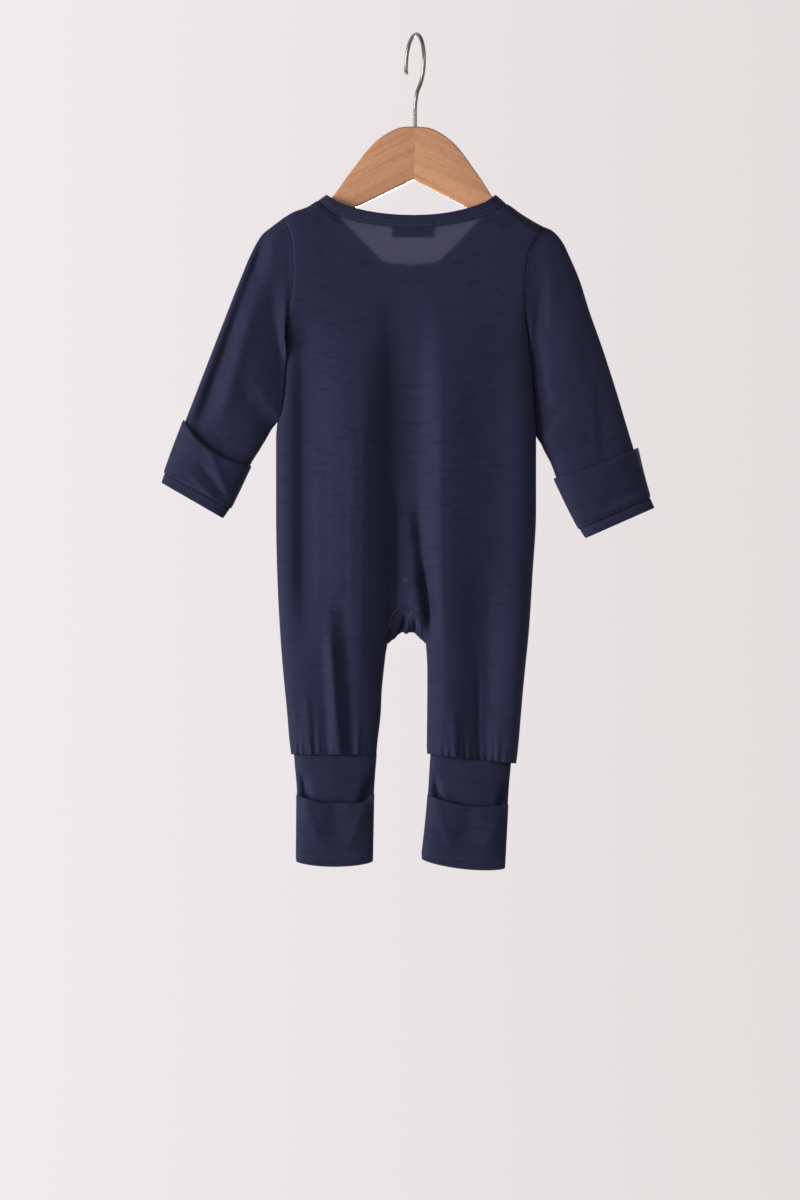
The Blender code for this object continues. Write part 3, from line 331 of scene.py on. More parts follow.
def hook_line():
    """The wire's middle: an arc over the rod from 195 to -62 degrees, a counter-arc, then a straight stem."""
    sweep = np.radians(np.linspace(195, -62, 70))
    reach = HOOK_R * np.cos(sweep)
    z = HOOK_R * np.sin(sweep) + WIRE_R - HOOK_R
    end = math.radians(62)
    counter_r = reach[-1] / (1 - math.cos(end))
    back = np.linspace(end, 0, 24)[1:]
    reach = np.concatenate([reach, counter_r * (1 - np.cos(back)), [0.0, 0.0]])
    z_end = z[-1] - counter_r * (math.sin(end) - np.sin(back))
    z = np.concatenate([z, z_end, [HANGER_TOP_Z + 2, STEM_END_Z]])
    return np.stack([reach * math.sin(HOOK_TURN), -reach * math.cos(HOOK_TURN), z], axis=-1)


def unit(vectors):
    return vectors / np.maximum(np.linalg.norm(vectors, axis=-1, keepdims=True), 1e-9)


def tube(line, across, radius, sides=20):
    """Circles of the given radii round a line, in the plane of across and of the line's other normal."""
    along = unit(np.gradient(line, axis=0))
    other = unit(np.cross(along, across))
    across = unit(np.cross(other, along))
    turn = np.linspace(0, 2 * math.pi, sides, endpoint=False)[None, :, None]
    radius = np.broadcast_to(radius, len(line))[:, None, None]
    return line[:, None] + radius * (np.cos(turn) * across[:, None] + np.sin(turn) * other[:, None])


def satin_steel():
    """Bare steel with fine scratches along the wire."""
    made, tree, shader = node_material("satin steel")
    place = add_node(tree, "ShaderNodeTexCoord")
    drawn = add_node(tree, "ShaderNodeMapping", Vector=place.outputs["Object"], Scale=(2600, 2600, 160))
    scratches = add_node(tree, "ShaderNodeTexNoise", Vector=drawn.outputs["Vector"], Scale=1.0, Detail=2.0)
    gloss = add_node(
        tree, "ShaderNodeMapRange", Value=scratches.outputs["Fac"], To_Min=0.2, To_Max=0.32
    )
    tree.links.new(gloss.outputs["Result"], shader.inputs["Roughness"])
    shader.inputs["Base Color"].default_value = (0.17, 0.155, 0.145, 1)
    shader.inputs["Metallic"].default_value = 1.0
    return made


def make_hook():
    """The wire: its tip is rounded like a ball, and its foot is cut flat inside the wood."""
    line = hook_line()
    run = np.concatenate([[0], np.cumsum(np.linalg.norm(np.diff(line, axis=0), axis=1))])
    length = run[-1]
    at = np.concatenate([1.7 * np.linspace(0.0, 1, 8) ** 2, np.linspace(2.2, length - 0.01, 170)])
    line = np.stack([np.interp(at, run, line[:, k]) for k in range(3)], axis=-1)
    plane = np.array([math.cos(HOOK_TURN), math.sin(HOOK_TURN), 0.0]) + 0 * line
    radius = WIRE_R * np.sqrt(np.clip(1 - (1 - np.clip(at / WIRE_R, 0, 1)) ** 2, 0.0004, 1))
    grid = tube(line, plane, radius)
    count = len(line) * 20
    faces = [*grid_quads(*grid.shape[:2], ring=True).tolist(), list(range(20))[::-1]]
    faces.append(list(range(count - 20, count)))
    hook = link_mesh("hook", grid.reshape(-1, 3) * MM, faces, satin_steel())
    turn_out(hook)
    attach(hook, "garment")
    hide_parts("hanger_hook")


make_hook()

# ---------------------------------------------------------------- back and fronts
# The back is one panel of thin single jersey from shoulders to ankles; the front is two, which
# meet at the zip. All are sewn at shoulders, sides and inside legs and hang in long soft folds,
# and each leg is gathered to its narrower cuff.
BACK, FRONT = -1, 1
JERSEY_T = 0.7  # wall of one layer
SEAM = 0.06  # gap between neighbours
ALLOWANCE = 2.2  # how deep a seam's edges turn in
SEAM_DIP, SEAM_DIP_W = 0.34, 1.3  # depth and reach of the groove along a seam
ARMPIT_Z = -268.0
CROTCH_Z = -496.3  # top of the gusset
INSEAM_Z = -537.0  # where each leg becomes a tube of its own
GUSSET_MID_X, GUSSET_HALF_X = -7.0, 17.2
GUSSET_END = 0.95  # share of the gusset's half width that is cloth
TUBE_POWER = 3.3  # 2 is an ellipse, more is flatter with rounder side folds
SHOULDER_R = 9.0  # radius with which the cloth turns over the hanger
ARMPIT_R = 40.0  # height over which the armhole narrows to the armpit
ZIP_HALF = 3.5  # from the middle line to each front panel's edge
ZIP_BOTTOM_Z = -470.0
# height, left side seam, right side seam
BODY_SIDES = [
    (-264, -113.4, 99.8),
    (-306, -115.6, 102.6),
    (-333, -119.4, 104.6),
    (-350, -120.9, 105.4),
    (-412, -120.9, 105.4),
    (-470, -119.8, 102.2),
    (-516, -117.5, 99.2),
    (-551, -114.8, 95.7),
    (-586, -111.4, 92.2),
    (-618, -108.6, 88.8),
    (-634, -106.0, 86.0),
]
# height, left leg's inner edge, right leg's inner edge
INSEAMS = [
    (-530, -24.6, 9.6),
    (-551, -27.0, 10.6),
    (-568, -28.7, 10.6),
    (-590, -29.8, 10.4),
    (-618, -33.0, 10.2),
    (-634, -34.0, 12.0),
]
# height, half depth of the tube at its middle
BODY_DEPTH = [
    (-143, 9.5),
    (-166, 12.0),
    (-209, 12.6),
    (-270, 13.6),
    (-340, 14.5),
    (-420, 15.0),
    (-500, 14.5),
    (-540, 13.5),
    (-600, 13.0),
    (-634, 12.0),
]
# height, middle line of back and front
MIDDLE = [(-150, -1.0), (-209, -3.5), (-300, -6.5), (-400, -8.0), (-500, -8.0)]
# leg hem: height at the inner edge, and fall for each mm outwards
HEM = {LEFT: (-624.2, 0.0), RIGHT: (-623.6, 0.11)}
# share of the way down the armhole, x of its seam
ARMHOLE = {
    LEFT: [(0.0, -114.6), (0.17, -107.2), (0.44, -105.6), (0.6, -106.4), (0.8, -111.0), (1.0, -113.4)],
    RIGHT: [(0.0, 111.4), (0.13, 103.6), (0.24, 98.3), (0.42, 95.7), (0.72, 95.0), (1.0, 99.8)],
}
SHOULDER_TIP_Z = {LEFT: -158.0, RIGHT: -165.4}
# Neck seam and the neckband's free edge, from the shoulder to the middle:
# share of the panel's width, seam x, seam y, seam z, edge x, edge y, edge z
NECK = {
    (LEFT, BACK): [
        (0.25, -84.4, 0.0, -143.1, -76.6, 0.0, -137.5),
        (0.29, -82.2, 5.2, -145.0, -74.6, 5.2, -139.3),
        (0.34, -79.0, 8.0, -148.6, -72.0, 8.2, -141.6),
        (0.42, -71.0, 9.3, -154.4, -65.0, 9.6, -145.6),
        (0.56, -53.0, 10.4, -160.7, -49.0, 10.8, -151.0),
        (0.70, -36.0, 11.2, -164.0, -33.5, 11.7, -154.1),
        (0.85, -18.0, 11.8, -166.0, -17.0, 12.4, -156.0),
        (1.0, -1.0, 12.0, -166.6, -1.0, 12.6, -156.6),
    ],
    (RIGHT, BACK): [
        (0.25, 79.2, 0.0, -145.7, 70.0, 0.0, -137.5),
        (0.29, 77.3, 5.2, -147.3, 68.3, 5.2, -139.2),
        (0.34, 74.2, 8.0, -150.5, 66.0, 8.2, -141.4),
        (0.42, 67.0, 9.3, -155.0, 60.0, 9.6, -145.2),
        (0.56, 49.5, 10.4, -160.3, 45.3, 10.8, -150.4),
        (0.70, 33.0, 11.2, -163.7, 30.6, 11.7, -153.8),
        (0.85, 16.0, 11.8, -165.9, 15.0, 12.4, -155.9),
        (1.0, -1.0, 12.0, -166.6, -1.0, 12.6, -156.6),
    ],
    (LEFT, FRONT): [
        (0.25, -84.4, 0.0, -143.1, -76.6, 0.0, -137.5),
        (0.29, -83.1, 5.2, -146.0, -75.4, 5.2, -139.5),
        (0.34, -81.2, 8.0, -149.9, -73.3, 8.0, -142.4),
        (0.42, -78.2, 9.2, -156.4, -71.2, 9.3, -149.4),
        (0.56, -63.6, 10.3, -174.8, -55.4, 10.5, -167.5),
        (0.70, -46.8, 11.2, -192.3, -38.4, 11.3, -184.8),
        (0.85, -31.0, 12.0, -206.6, -25.6, 12.0, -196.4),
        (1.0, -7.0, 12.6, -209.8, -7.0, 12.6, -198.6),
    ],
    (RIGHT, FRONT): [
        (0.25, 79.2, 0.0, -145.7, 70.0, 0.0, -137.5),
        (0.29, 77.6, 5.2, -148.2, 68.8, 5.2, -139.9),
        (0.34, 75.8, 8.0, -151.6, 66.8, 8.0, -142.9),
        (0.42, 72.6, 9.2, -157.0, 65.0, 9.3, -149.6),
        (0.56, 57.4, 10.3, -175.6, 49.0, 10.5, -168.2),
        (0.70, 40.2, 11.2, -193.2, 31.9, 11.3, -185.8),
        (0.85, 24.4, 12.0, -207.0, 18.8, 12.0, -196.8),
        (1.0, 0.0, 12.6, -209.8, 0.0, 12.6, -198.6),
    ],
}
# share of the panel's width, x and z along the shoulder seam
SHOULDER = {
    LEFT: [(0.0, -114.6, -158.0), (0.08, -106.0, -152.8), (0.17, -94.0, -148.4)],
    RIGHT: [(0.0, 111.4, -165.4), (0.08, 104.0, -161.4), (0.17, 92.2, -154.2)],
}
# Folds: name, x and z of the upper end, x and z of the lower end, half widths left and right, height outwards
BACK_FOLDS = [
    ("valley between the legs, steep side", -20, -205, -19, -640, 9.5, 20, -6.8),
    ("valley between the legs, far side", 3, -215, 1, -520, 20, 10, -3.4),
    ("bottom of that valley", -19, -370, -18, -600, 6, 9, -2.6),
    ("roll over the right leg", 23, -210, 26, -700, 11, 30, 5.0),
    ("roll over the left leg", -46, -240, -50, -600, 50, 11, 4.2),
    ("dent beside the left side", -97.5, -215, -96, -540, 9, 22, -7.0),
    ("ripple of the left hip", -84, -330, -84, -560, 5, 5, 0.6),
    ("ripple of the left seat", -54, -320, -55, -520, 4, 4, 0.5),
    ("wedge over the gusset", 0, -395, 17.5, -530, 6, 5.5, -5.2),
    ("crease at the gusset's end", 5, -452, 14, -526, 4.5, 3, -5.0),
    ("ridge of the left leg", -76, -480, -61, -700, 5.5, 3.6, 4.6),
    ("trough of the left leg", -64, -470, -55, -660, 5, 6, -1.6),
    ("outer pleat of the left leg", -94, -560, -90, -680, 4.5, 3.5, 1.6),
    ("inner pleat of the left leg", -50, -580, -50, -680, 4.0, 3.5, 1.4),
    ("hollow of the right leg", 62, -440, 59, -700, 20, 11, -3.4),
    ("crease of the right leg", 55, -530, 53, -700, 3, 2.4, -1.8),
    ("outer pleat of the right leg", 71, -585, 69, -680, 4.0, 3.5, 1.2),
    ("inner pleat of the right leg", 33, -575, 37, -680, 5, 4, 1.3),
    ("swell beside the right side", 101, -190, 91, -760, 18, 10, 6.5),
]
FRONT_FOLDS = [
    ("valley between the legs", -8, -360, -8, -580, 16, 16, -4.0),
    ("roll over the left leg", -50, -250, -62, -660, 20, 16, 3.4),
    ("roll over the right leg", 44, -240, 40, -660, 16, 22, 3.2),
    ("dent under the left arm", -90, -240, -98, -440, 9, 9, -2.2),
    ("dent under the right arm", 78, -250, 86, -430, 8, 8, -2.0),
    ("drag from the left shoulder", -84, -180, -56, -300, 8, 6, 0.9),
    ("drag from the right shoulder", 80, -184, 50, -290, 6, 8, 0.8),
    ("ridge of the left leg", -74, -520, -72, -690, 5, 5, 2.8),
    ("inner pleat of the left leg", -52, -570, -53, -690, 4.5, 4.5, 1.6),
    ("ridge of the right leg", 46, -500, 47, -690, 5, 5, 2.8),
    ("outer pleat of the right leg", 66, -570, 65, -690, 4.5, 4.5, 1.7),
]
# Gathers above a cuff: x at the seam, half width, height, length, lean to the right over that length
GATHERS = {
    (LEFT, BACK): [
        (-103, 1.8, 0.9, 26, -2),
        (-97.5, 2.2, 1.1, 38, -2),
        (-90.5, 2.0, 1.0, 30, -1),
        (-83.0, 2.4, 1.5, 54, -2),
        (-77.0, 1.7, 0.9, 22, 0),
        (-71.5, 1.9, 1.5, 46, -1),
        (-63.5, 2.2, 1.2, 60, 0),
        (-57.5, 1.7, 1.2, 34, 1),
        (-51.0, 2.0, 1.3, 28, 1),
        (-45.5, 1.8, 0.8, 20, 1),
        (-39.5, 2.0, 0.8, 26, 2),
    ],
    (RIGHT, BACK): [
        (15.0, 1.8, 0.7, 22, -2),
        (21.5, 2.2, 1.0, 34, -1),
        (28.0, 1.8, 1.1, 24, -1),
        (34.5, 2.0, 1.2, 40, 0),
        (41.0, 1.7, 1.0, 20, 0),
        (46.5, 1.9, 1.3, 32, 0),
        (52.5, 2.2, 1.5, 60, 1),
        (59.0, 1.7, 1.2, 26, 1),
        (65.0, 2.1, 1.3, 44, 1),
        (71.5, 1.8, 1.1, 30, 2),
        (78.0, 1.9, 0.9, 24, 2),
    ],
}
GATHERS[LEFT, FRONT] = [
    (x + 3, w, 0.9 * h, 0.9 * run, lean) for x, w, h, run, lean in GATHERS[LEFT, BACK][:-1]
]
GATHERS[RIGHT, FRONT] = [
    (x + 2, w, 0.9 * h, 0.9 * run, lean) for x, w, h, run, lean in GATHERS[RIGHT, BACK][:-1]
]
OWN_PLACE = 700.0  # shifts each piece's place in the cloth, so that no two show the same knit
NAVY = (0.0150, 0.0156, 0.0474)
NAVY_DEEP = (0.0076, 0.0079, 0.0254)


def ease(value):
    """0 below 0, 1 above 1, and a soft S between."""
    value = np.clip(value, 0.0, 1.0)
    return value * value * (3 - 2 * value)


def quarter_round(value):
    """Height of a quarter circle that starts upright at 0 and is level from 1 on."""
    return np.sqrt(np.clip(1 - (1 - np.clip(value, 0.0, 1.0)) ** 2, 0.0, 1.0))


def fold_height(folds, x, z):
    """Sum of soft strokes: bell-shaped across, with a half width for each side, faded at both ends."""
    total = np.zeros(np.broadcast(x, z).shape)
    for _, x1, z1, x2, z2, left, right, height in folds:
        length = math.hypot(x2 - x1, z2 - z1)
        along = ((x - x1) * (x2 - x1) + (z - z1) * (z2 - z1)) / length**2
        across = ((z - z1) * (x2 - x1) - (x - x1) * (z2 - z1)) / length
        window = ease(along / 0.3) * ease((1 - along) / 0.25)
        total = total + height * window * np.exp(-((across / np.where(across < 0, left, right)) ** 2))
    return total


def gather_height(side, face, x, z):
    """Puckers that start at the cuff's seam at full height and fade up the leg, leaning a little."""
    up = z - HEM[side][0]
    total = np.zeros(np.broadcast(x, z).shape)
    for foot, width, height, run, lean in GATHERS[side, face]:
        share = np.clip(up / run, 0, 1)
        across = (x - foot - lean * share) / (width * (1 + 0.8 * share))
        total = total + height * (1 - share) ** 1.5 * np.exp(-(across**2))
    fine = np.sin(1.25 * x + 1.6 * np.sin(x / 5)) * (0.7 + 0.3 * np.sin(x / 3.3))
    return 1.35 * total + 0.7 * fine * np.exp(-np.clip(up, 0, None) / 8)


def unevenness(x, z):
    """Slow waves, longer down the cloth than across it, so that no stretch is quite flat."""
    broad = np.sin(x / 19 + 0.9 * np.sin(z / 71) + 0.7) * np.sin(z / 83 - x / 120 + 1.9)
    fine = np.sin(x / 6.1 + 1.3 * np.sin(z / 47 + 0.5)) * (0.6 + 0.4 * np.sin(z / 29 + x / 31))
    return 0.28 * broad + 0.05 * fine


def gusset_seam_z(share):
    """Height of the gusset's seam at a share of its half width from its middle."""
    return CROTCH_Z - 0.3 - 7.0 * share**2 - 26.0 * share**8


def inner_edge_x(side, face, z):
    """x of a body panel's inner edge: the middle line, then the gusset's seam, then the inseam."""
    shares = np.linspace(0, GUSSET_END, 60)
    share = np.interp(-z, -gusset_seam_z(shares), shares)
    at_gusset = GUSSET_MID_X + side * (GUSSET_HALF_X * share + SEAM)
    at_leg = smooth_steps(INSEAMS, z, 1 if side == LEFT else 2)
    past = ease((gusset_seam_z(GUSSET_END) - z) / (gusset_seam_z(GUSSET_END) - INSEAM_Z))
    lower = at_gusset * (1 - past) + at_leg * past
    middle = smooth_steps(MIDDLE, z)
    if face == FRONT:
        middle = middle + side * np.where(z >= ZIP_BOTTOM_Z, ZIP_HALF, SEAM / 2)
    return np.where(z >= CROTCH_Z, middle, lower)


def seam_way(grid, normal, sideways):
    """The way a seam sinks: through the cloth along Y, and sideways only where sideways is 1."""
    through = np.sign(grid[..., 1]) * np.clip(abs(grid[..., 1]) / 3, 0.15, 1)
    through = np.stack([0 * through, through, 0 * through], axis=-1)
    sideways = np.broadcast_to(sideways, grid.shape[:2])[..., None]
    return normal * sideways + through * (1 - sideways)


def panel_folds(face, x, z):
    return fold_height(BACK_FOLDS if face == BACK else FRONT_FOLDS, x, z) + unevenness(x * face, z)


def lower_rows(side, face, z, c):
    """A body panel below the armpit, at heights z (rows) and shares c of its width (columns).

    Across the chest it is half of a flattened ellipse, and from the gusset down each leg turns
    into a whole one, by a soft step.
    """
    z, c = np.meshgrid(z, c, indexing="ij")
    leg = ease((CROTCH_Z + 16 - z) / (CROTCH_Z + 16 - INSEAM_Z))
    across = (1 - (1 - c) ** 1.45) * (1 - leg) + (1 - np.cos(math.pi * c)) / 2 * leg
    x_side = smooth_steps(BODY_SIDES, z, 1 if side == LEFT else 2)
    x = x_side + (inner_edge_x(side, face, z) - x_side) * across
    middle = smooth_steps(MIDDLE, z)
    leg_edge = middle + (smooth_steps(INSEAMS, z, 1 if side == LEFT else 2) - middle) * leg
    of_torso = np.clip((x - x_side) / (middle - x_side), 0, 1)
    of_leg = np.clip((x - x_side) / (leg_edge - x_side), 0, 1)
    half = (1 - (1 - of_torso) ** TUBE_POWER) ** (1 / TUBE_POWER)
    whole = (1 - abs(2 * of_leg - 1) ** TUBE_POWER) ** (1 / TUBE_POWER)
    bulge = half * (1 - leg) + whole * leg
    depth = smooth_steps(BODY_DEPTH, z) + panel_folds(face, x, z)
    depth = depth + gather_height(side, face, x, z)
    hem_z, fall = HEM[side]
    inner_x = smooth_steps(INSEAMS, -618, 1 if side == LEFT else 2)
    z = z - fall * side * (x - inner_x) * ease((-560 - z) / 64)
    return np.stack([x, face * (SEAM / 2 + (depth - SEAM / 2) * bulge), z], axis=-1)


def armhole(side, face, t):
    """The armhole's seam, from the shoulder (t = 0) to the armpit (t = 1)."""
    drop = SHOULDER_TIP_Z[side] - ARMPIT_Z
    z = SHOULDER_TIP_Z[side] - drop * t
    x = smooth_steps(ARMHOLE[side], t)
    depth = 8.4 + 2.6 * np.sin(math.pi * t)
    depth = depth * quarter_round(drop * t / SHOULDER_R)
    depth = depth * np.sin(math.pi / 2 * np.clip(drop * (1 - t) / ARMPIT_R, 0, 1))
    return np.stack([x, face * (SEAM / 2 + depth), z], axis=-1)


def upper_rows(side, face, f, c):
    """A body panel from its shoulder and neck seams (f = 0) to the armpit (f = 1).

    Each column runs from its point on the seams straight down to the armpit's row, and turns
    over the hanger on a quarter circle.
    """
    top = [(share, x, 0.0, z) for share, x, z in SHOULDER[side]]
    top += [row[:4] for row in NECK[side, face]]
    top_x, top_y, top_z = (smooth_steps(top, c, k) for k in (1, 2, 3))
    under = lower_rows(side, face, np.array([ARMPIT_Z]), c)[0]
    edge = armhole(side, face, f)
    f, c = np.meshgrid(f, c, indexing="ij")
    x = top_x * (1 - f) + under[:, 0] * f
    x = x + (edge[:, :1] - x[:, :1]) * (1 - c) ** 6
    if face == FRONT:
        x = np.where(c >= 1, smooth_steps(MIDDLE, -210 - 60 * f) + side * ZIP_HALF, x)
    z = top_z * (1 - f) + under[:, 2] * f
    drop = top_z - z
    torso_across = 1 - (1 - c) ** 1.45
    bulge = (1 - (1 - torso_across) ** TUBE_POWER) ** (1 / TUBE_POWER)
    edge_depth = abs(edge[:, 1:2]) / np.maximum(quarter_round(drop[:, :1] / SHOULDER_R), 0.05)
    inside = edge_depth * (1 - bulge) + (smooth_steps(BODY_DEPTH, z) + panel_folds(face, x, z)) * bulge
    turned = quarter_round(drop / SHOULDER_R)
    y = np.maximum(top_y, SEAM / 2) * (1 - turned) + inside * turned
    y[:, 0] = abs(edge[:, 1])
    y[-1] = abs(under[:, 1])
    return np.stack([x, face * y, z], axis=-1)


def normals_of(grid, away, ring=False):
    """Unit normals of a grid of points, from each point's neighbours, on the side that away points to."""
    wide = np.concatenate([grid[:, -1:], grid, grid[:, :1]], axis=1) if ring else grid
    across = wide[:, 2:] - wide[:, :-2] if ring else np.gradient(grid, axis=1)
    normal = unit(np.cross(across, np.gradient(grid, axis=0)))
    return normal * (1 if (normal * away).sum() > 0 else -1)


def run_along(grid, axis):
    """Distance travelled along rows (axis 0) or columns (axis 1) from the first one."""
    steps = np.linalg.norm(np.diff(grid, axis=axis), axis=2)
    pad = [(1, 0), (0, 0)] if axis == 0 else [(0, 0), (1, 0)]
    return np.pad(np.cumsum(steps, axis=axis), pad)


def seamed(grid, normal, edges):
    """Sinks a grid along its sewn edges, as a bell-shaped groove, and adds the seam's turned-in edge there.

    Edges are a text of t, b, f and l: the top and bottom rows, the first and last columns.
    """
    down, across = run_along(grid, 0), run_along(grid, 1)
    far = {"t": down, "b": down[-1] - down, "f": across, "l": across[:, -1:] - across}
    sink = sum(np.exp(-((far[edge] / SEAM_DIP_W) ** 2)) for edge in edges)
    grid = grid - (SEAM_DIP * np.minimum(sink, 1))[..., None] * normal
    for edge in edges:
        axis = 0 if edge in "tb" else 1
        last = [slice(None)] * 2
        last[axis] = slice(0, 1) if edge in "tf" else slice(-1, None)
        flap = grid[tuple(last)] - ALLOWANCE * normal[tuple(last)]
        pieces = [(flap, grid), (normal[tuple(last)], normal)]
        if edge in "bl":
            pieces = [pair[::-1] for pair in pieces]
        grid, normal = (np.concatenate(pair, axis=axis) for pair in pieces)
    return grid


def cloth(name, grids, material, away, ring=False, wall=JERSEY_T, turn=(0.0, 0.0)):
    """A thin shell from one or more outer grids, in millimetres, with its wall turned inwards.

    The attribute "cloth" holds each point's place in the flat cloth, across and along, from turn on.
    """
    points, faces, places, count = [], [], [], 0
    for grid in grids:
        quads = grid_quads(*grid.shape[:2], ring)
        flat = grid.reshape(-1, 3)
        corners = flat[quads]
        face_normal = np.cross(corners[:, 2] - corners[:, 0], corners[:, 3] - corners[:, 1])
        centre = corners.mean(axis=1)
        if (face_normal * away(centre)).sum() < 0:
            quads = quads[:, ::-1]
        points.append(flat)
        faces += (quads + count).tolist()
        across = run_along(grid, 1).mean(axis=0)
        along = run_along(grid, 0).mean(axis=1)
        across, along = np.broadcast_arrays(across[None, :], along[:, None])
        places.append(np.stack([across + turn[0], along + turn[1], 0 * along], axis=-1).reshape(-1, 3))
        count += len(flat)
    piece = link_mesh(name, np.concatenate(points) * MM, faces, material)
    place = piece.data.attributes.new("cloth", "FLOAT_VECTOR", "POINT")
    place.data.foreach_set("vector", (np.concatenate(places) * MM).astype(np.float32).ravel())
    if len(grids) > 1:
        shape = bmesh.new()
        shape.from_mesh(piece.data)
        bmesh.ops.remove_doubles(shape, verts=shape.verts, dist=0.005 * MM)
        shape.to_mesh(piece.data)
        shape.free()
    thick = piece.modifiers.new("wall", "SOLIDIFY")
    thick.thickness = wall * MM
    thick.offset = -1.0
    return piece


def jersey(name, light, deep, shine_through=0.0):
    """Single jersey: wales and courses as fine bump, courses that vary a little in tone, and a soft sheen.

    A share of the cloth passes light on to its other side.
    """
    made, tree, shader = node_material(name)
    flat = add_node(tree, "ShaderNodeAttribute", {"attribute_name": "cloth"})
    long_way = add_node(tree, "ShaderNodeMapping", Vector=flat.outputs["Vector"], Scale=(42, 340, 1))
    courses = add_node(tree, "ShaderNodeTexNoise", Vector=long_way.outputs["Vector"], Scale=1.0, Detail=3.0)
    cloudy = add_node(tree, "ShaderNodeTexNoise", Vector=flat.outputs["Vector"], Scale=600.0, Detail=2.0)
    both = add_node(
        tree, "ShaderNodeMath", {"operation": "MULTIPLY_ADD"}
    )
    tree.links.new(courses.outputs["Fac"], both.inputs[0])
    both.inputs[1].default_value = 1.3
    tree.links.new(cloudy.outputs["Fac"], both.inputs[2])
    tone = add_node(tree, "ShaderNodeValToRGB", Fac=both.outputs["Value"])
    tone.color_ramp.elements[0].position = 0.96
    tone.color_ramp.elements[0].color = (*deep, 1)
    tone.color_ramp.elements[1].position = 1.18
    tone.color_ramp.elements[1].color = (*light, 1)
    tree.links.new(tone.outputs["Color"], shader.inputs["Base Color"])
    wale = add_node(
        tree,
        "ShaderNodeTexWave",
        {"bands_direction": "X"},
        Vector=flat.outputs["Vector"],
        Scale=350.0,
        Distortion=1.0,
        Detail=1.0,
    )
    course = add_node(
        tree,
        "ShaderNodeTexWave",
        {"bands_direction": "Y"},
        Vector=flat.outputs["Vector"],
        Scale=420.0,
        Distortion=2.0,
        Detail=1.0,
    )
    stitch = add_node(tree, "ShaderNodeMath", {"operation": "MULTIPLY_ADD"})
    tree.links.new(wale.outputs["Fac"], stitch.inputs[0])
    tree.links.new(course.outputs["Fac"], stitch.inputs[1])
    tree.links.new(courses.outputs["Fac"], stitch.inputs[2])
    relief = add_node(tree, "ShaderNodeBump", Strength=0.5, Distance=0.00016, Height=stitch.outputs["Value"])
    tree.links.new(relief.outputs["Normal"], shader.inputs["Normal"])
    shader.inputs["Roughness"].default_value = 0.72
    shader.inputs["Specular IOR Level"].default_value = 0.12
    shader.inputs["Sheen Weight"].default_value = 0.04
    shader.inputs["Sheen Roughness"].default_value = 0.45
    shader.inputs["Sheen Tint"].default_value = (0.62, 0.64, 1.0, 1)
    if shine_through:
        glow = add_node(tree, "ShaderNodeBsdfTranslucent", Color=(0.74, 0.715, 0.86, 1))
        mix = add_node(tree, "ShaderNodeMixShader", Fac=shine_through)
        tree.links.new(shader.outputs["BSDF"], mix.inputs[1])
        tree.links.new(glow.outputs["BSDF"], mix.inputs[2])
        tree.links.new(mix.outputs["Shader"], tree.nodes["Material Output"].inputs["Surface"])
    return made


def body_levels(side, finest):
    """Heights of a panel's rows from armpit to hem, denser round the gusset and above the cuff."""
    torso = np.linspace(ARMPIT_Z, CROTCH_Z + 3, int(228 / finest))
    seam = gusset_seam_z(np.linspace(0, GUSSET_END, 16)) + SEAM
    leg = np.linspace(-528.0, HEM[side][0], int(96 / finest * 1.3))
    return np.concatenate([torso, seam, leg])


def body_panel(side, face, columns, upper, finest):
    """Half of the back, or one front: rows from the shoulder to the hem, with its seams turned in."""
    c = np.linspace(0, 1, columns) ** 1.35
    levels = body_levels(side, finest)
    grid = np.concatenate(
        [upper_rows(side, face, np.linspace(0, 1, upper)[:-1] ** 1.6, c), lower_rows(side, face, levels, c)]
    )
    normal = normals_of(grid, np.array([0.0, face, 0.0]))
    z = grid[..., 2]
    below_arm, below_gusset = ease((ARMPIT_Z - z) / 12), ease((INSEAM_Z + 6 - z) / 12)
    sideways = np.where(c < 0.5, below_arm, below_gusset) * ease((z - HEM[side][0] - 8) / 6)
    way = seam_way(grid, normal, sideways)
    return grid, way, upper - 1 + int(np.sum(levels > CROTCH_Z + 0.01))


def outward_y(face):
    return lambda centre: np.array([0.0, face, 0.0]) + 0 * centre


def make_back():
    """Two halves that share the middle column down to the gusset."""
    halves = []
    for side in (LEFT, RIGHT):
        grid, normal, part_row = body_panel(side, BACK, 98, 64, 2.3)
        down, across = run_along(grid, 0), run_along(grid, 1)
        rows = np.arange(len(grid))[:, None]
        to_leg_edge = np.where(rows > part_row, across[:, -1:] - across, 99.0)
        to_armhole = np.where(rows < 64, across, 99.0)
        far = np.minimum(np.minimum(down, down[-1] - down), np.minimum(to_leg_edge, to_armhole))
        grid = grid - (SEAM_DIP * np.exp(-((far / SEAM_DIP_W) ** 2)))[..., None] * normal
        for k in (0, -1):
            turned = grid[:, k] - ALLOWANCE * normal[:, k]
            if k == -1:
                turned = np.where(rows > part_row, turned, grid[:, k])
            turned = turned[:, None]
            joined = (turned, grid) if k == 0 else (grid, turned)
            grid = np.concatenate(joined, axis=1)
            edge = normal[:, [k]]
            normal = np.concatenate((edge, normal) if k == 0 else (normal, edge), axis=1)
        ends = [grid[[k]] - ALLOWANCE * normal[[k]] for k in (0, -1)]
        halves.append(np.concatenate([ends[0], grid, ends[1]]))
    back = cloth("back", halves, JERSEY, outward_y(BACK))
    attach(back, "garment")
    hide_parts("back_panel")
    return back


def make_front(side):
    """One front, from the shoulder to the ankle, its inner edge turned in beside the zip."""
    grid, normal, _ = body_panel(side, FRONT, 64, 56, 3.0)
    grid = seamed(grid, normal, "tbfl")
    word = SIDE_WORD[side]
    front = cloth(f"front_{word}_panel", [grid], JERSEY, outward_y(FRONT), turn=(side * OWN_PLACE, 900.0))
    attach(front, "garment")
    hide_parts(f"front_{word}")
    return front


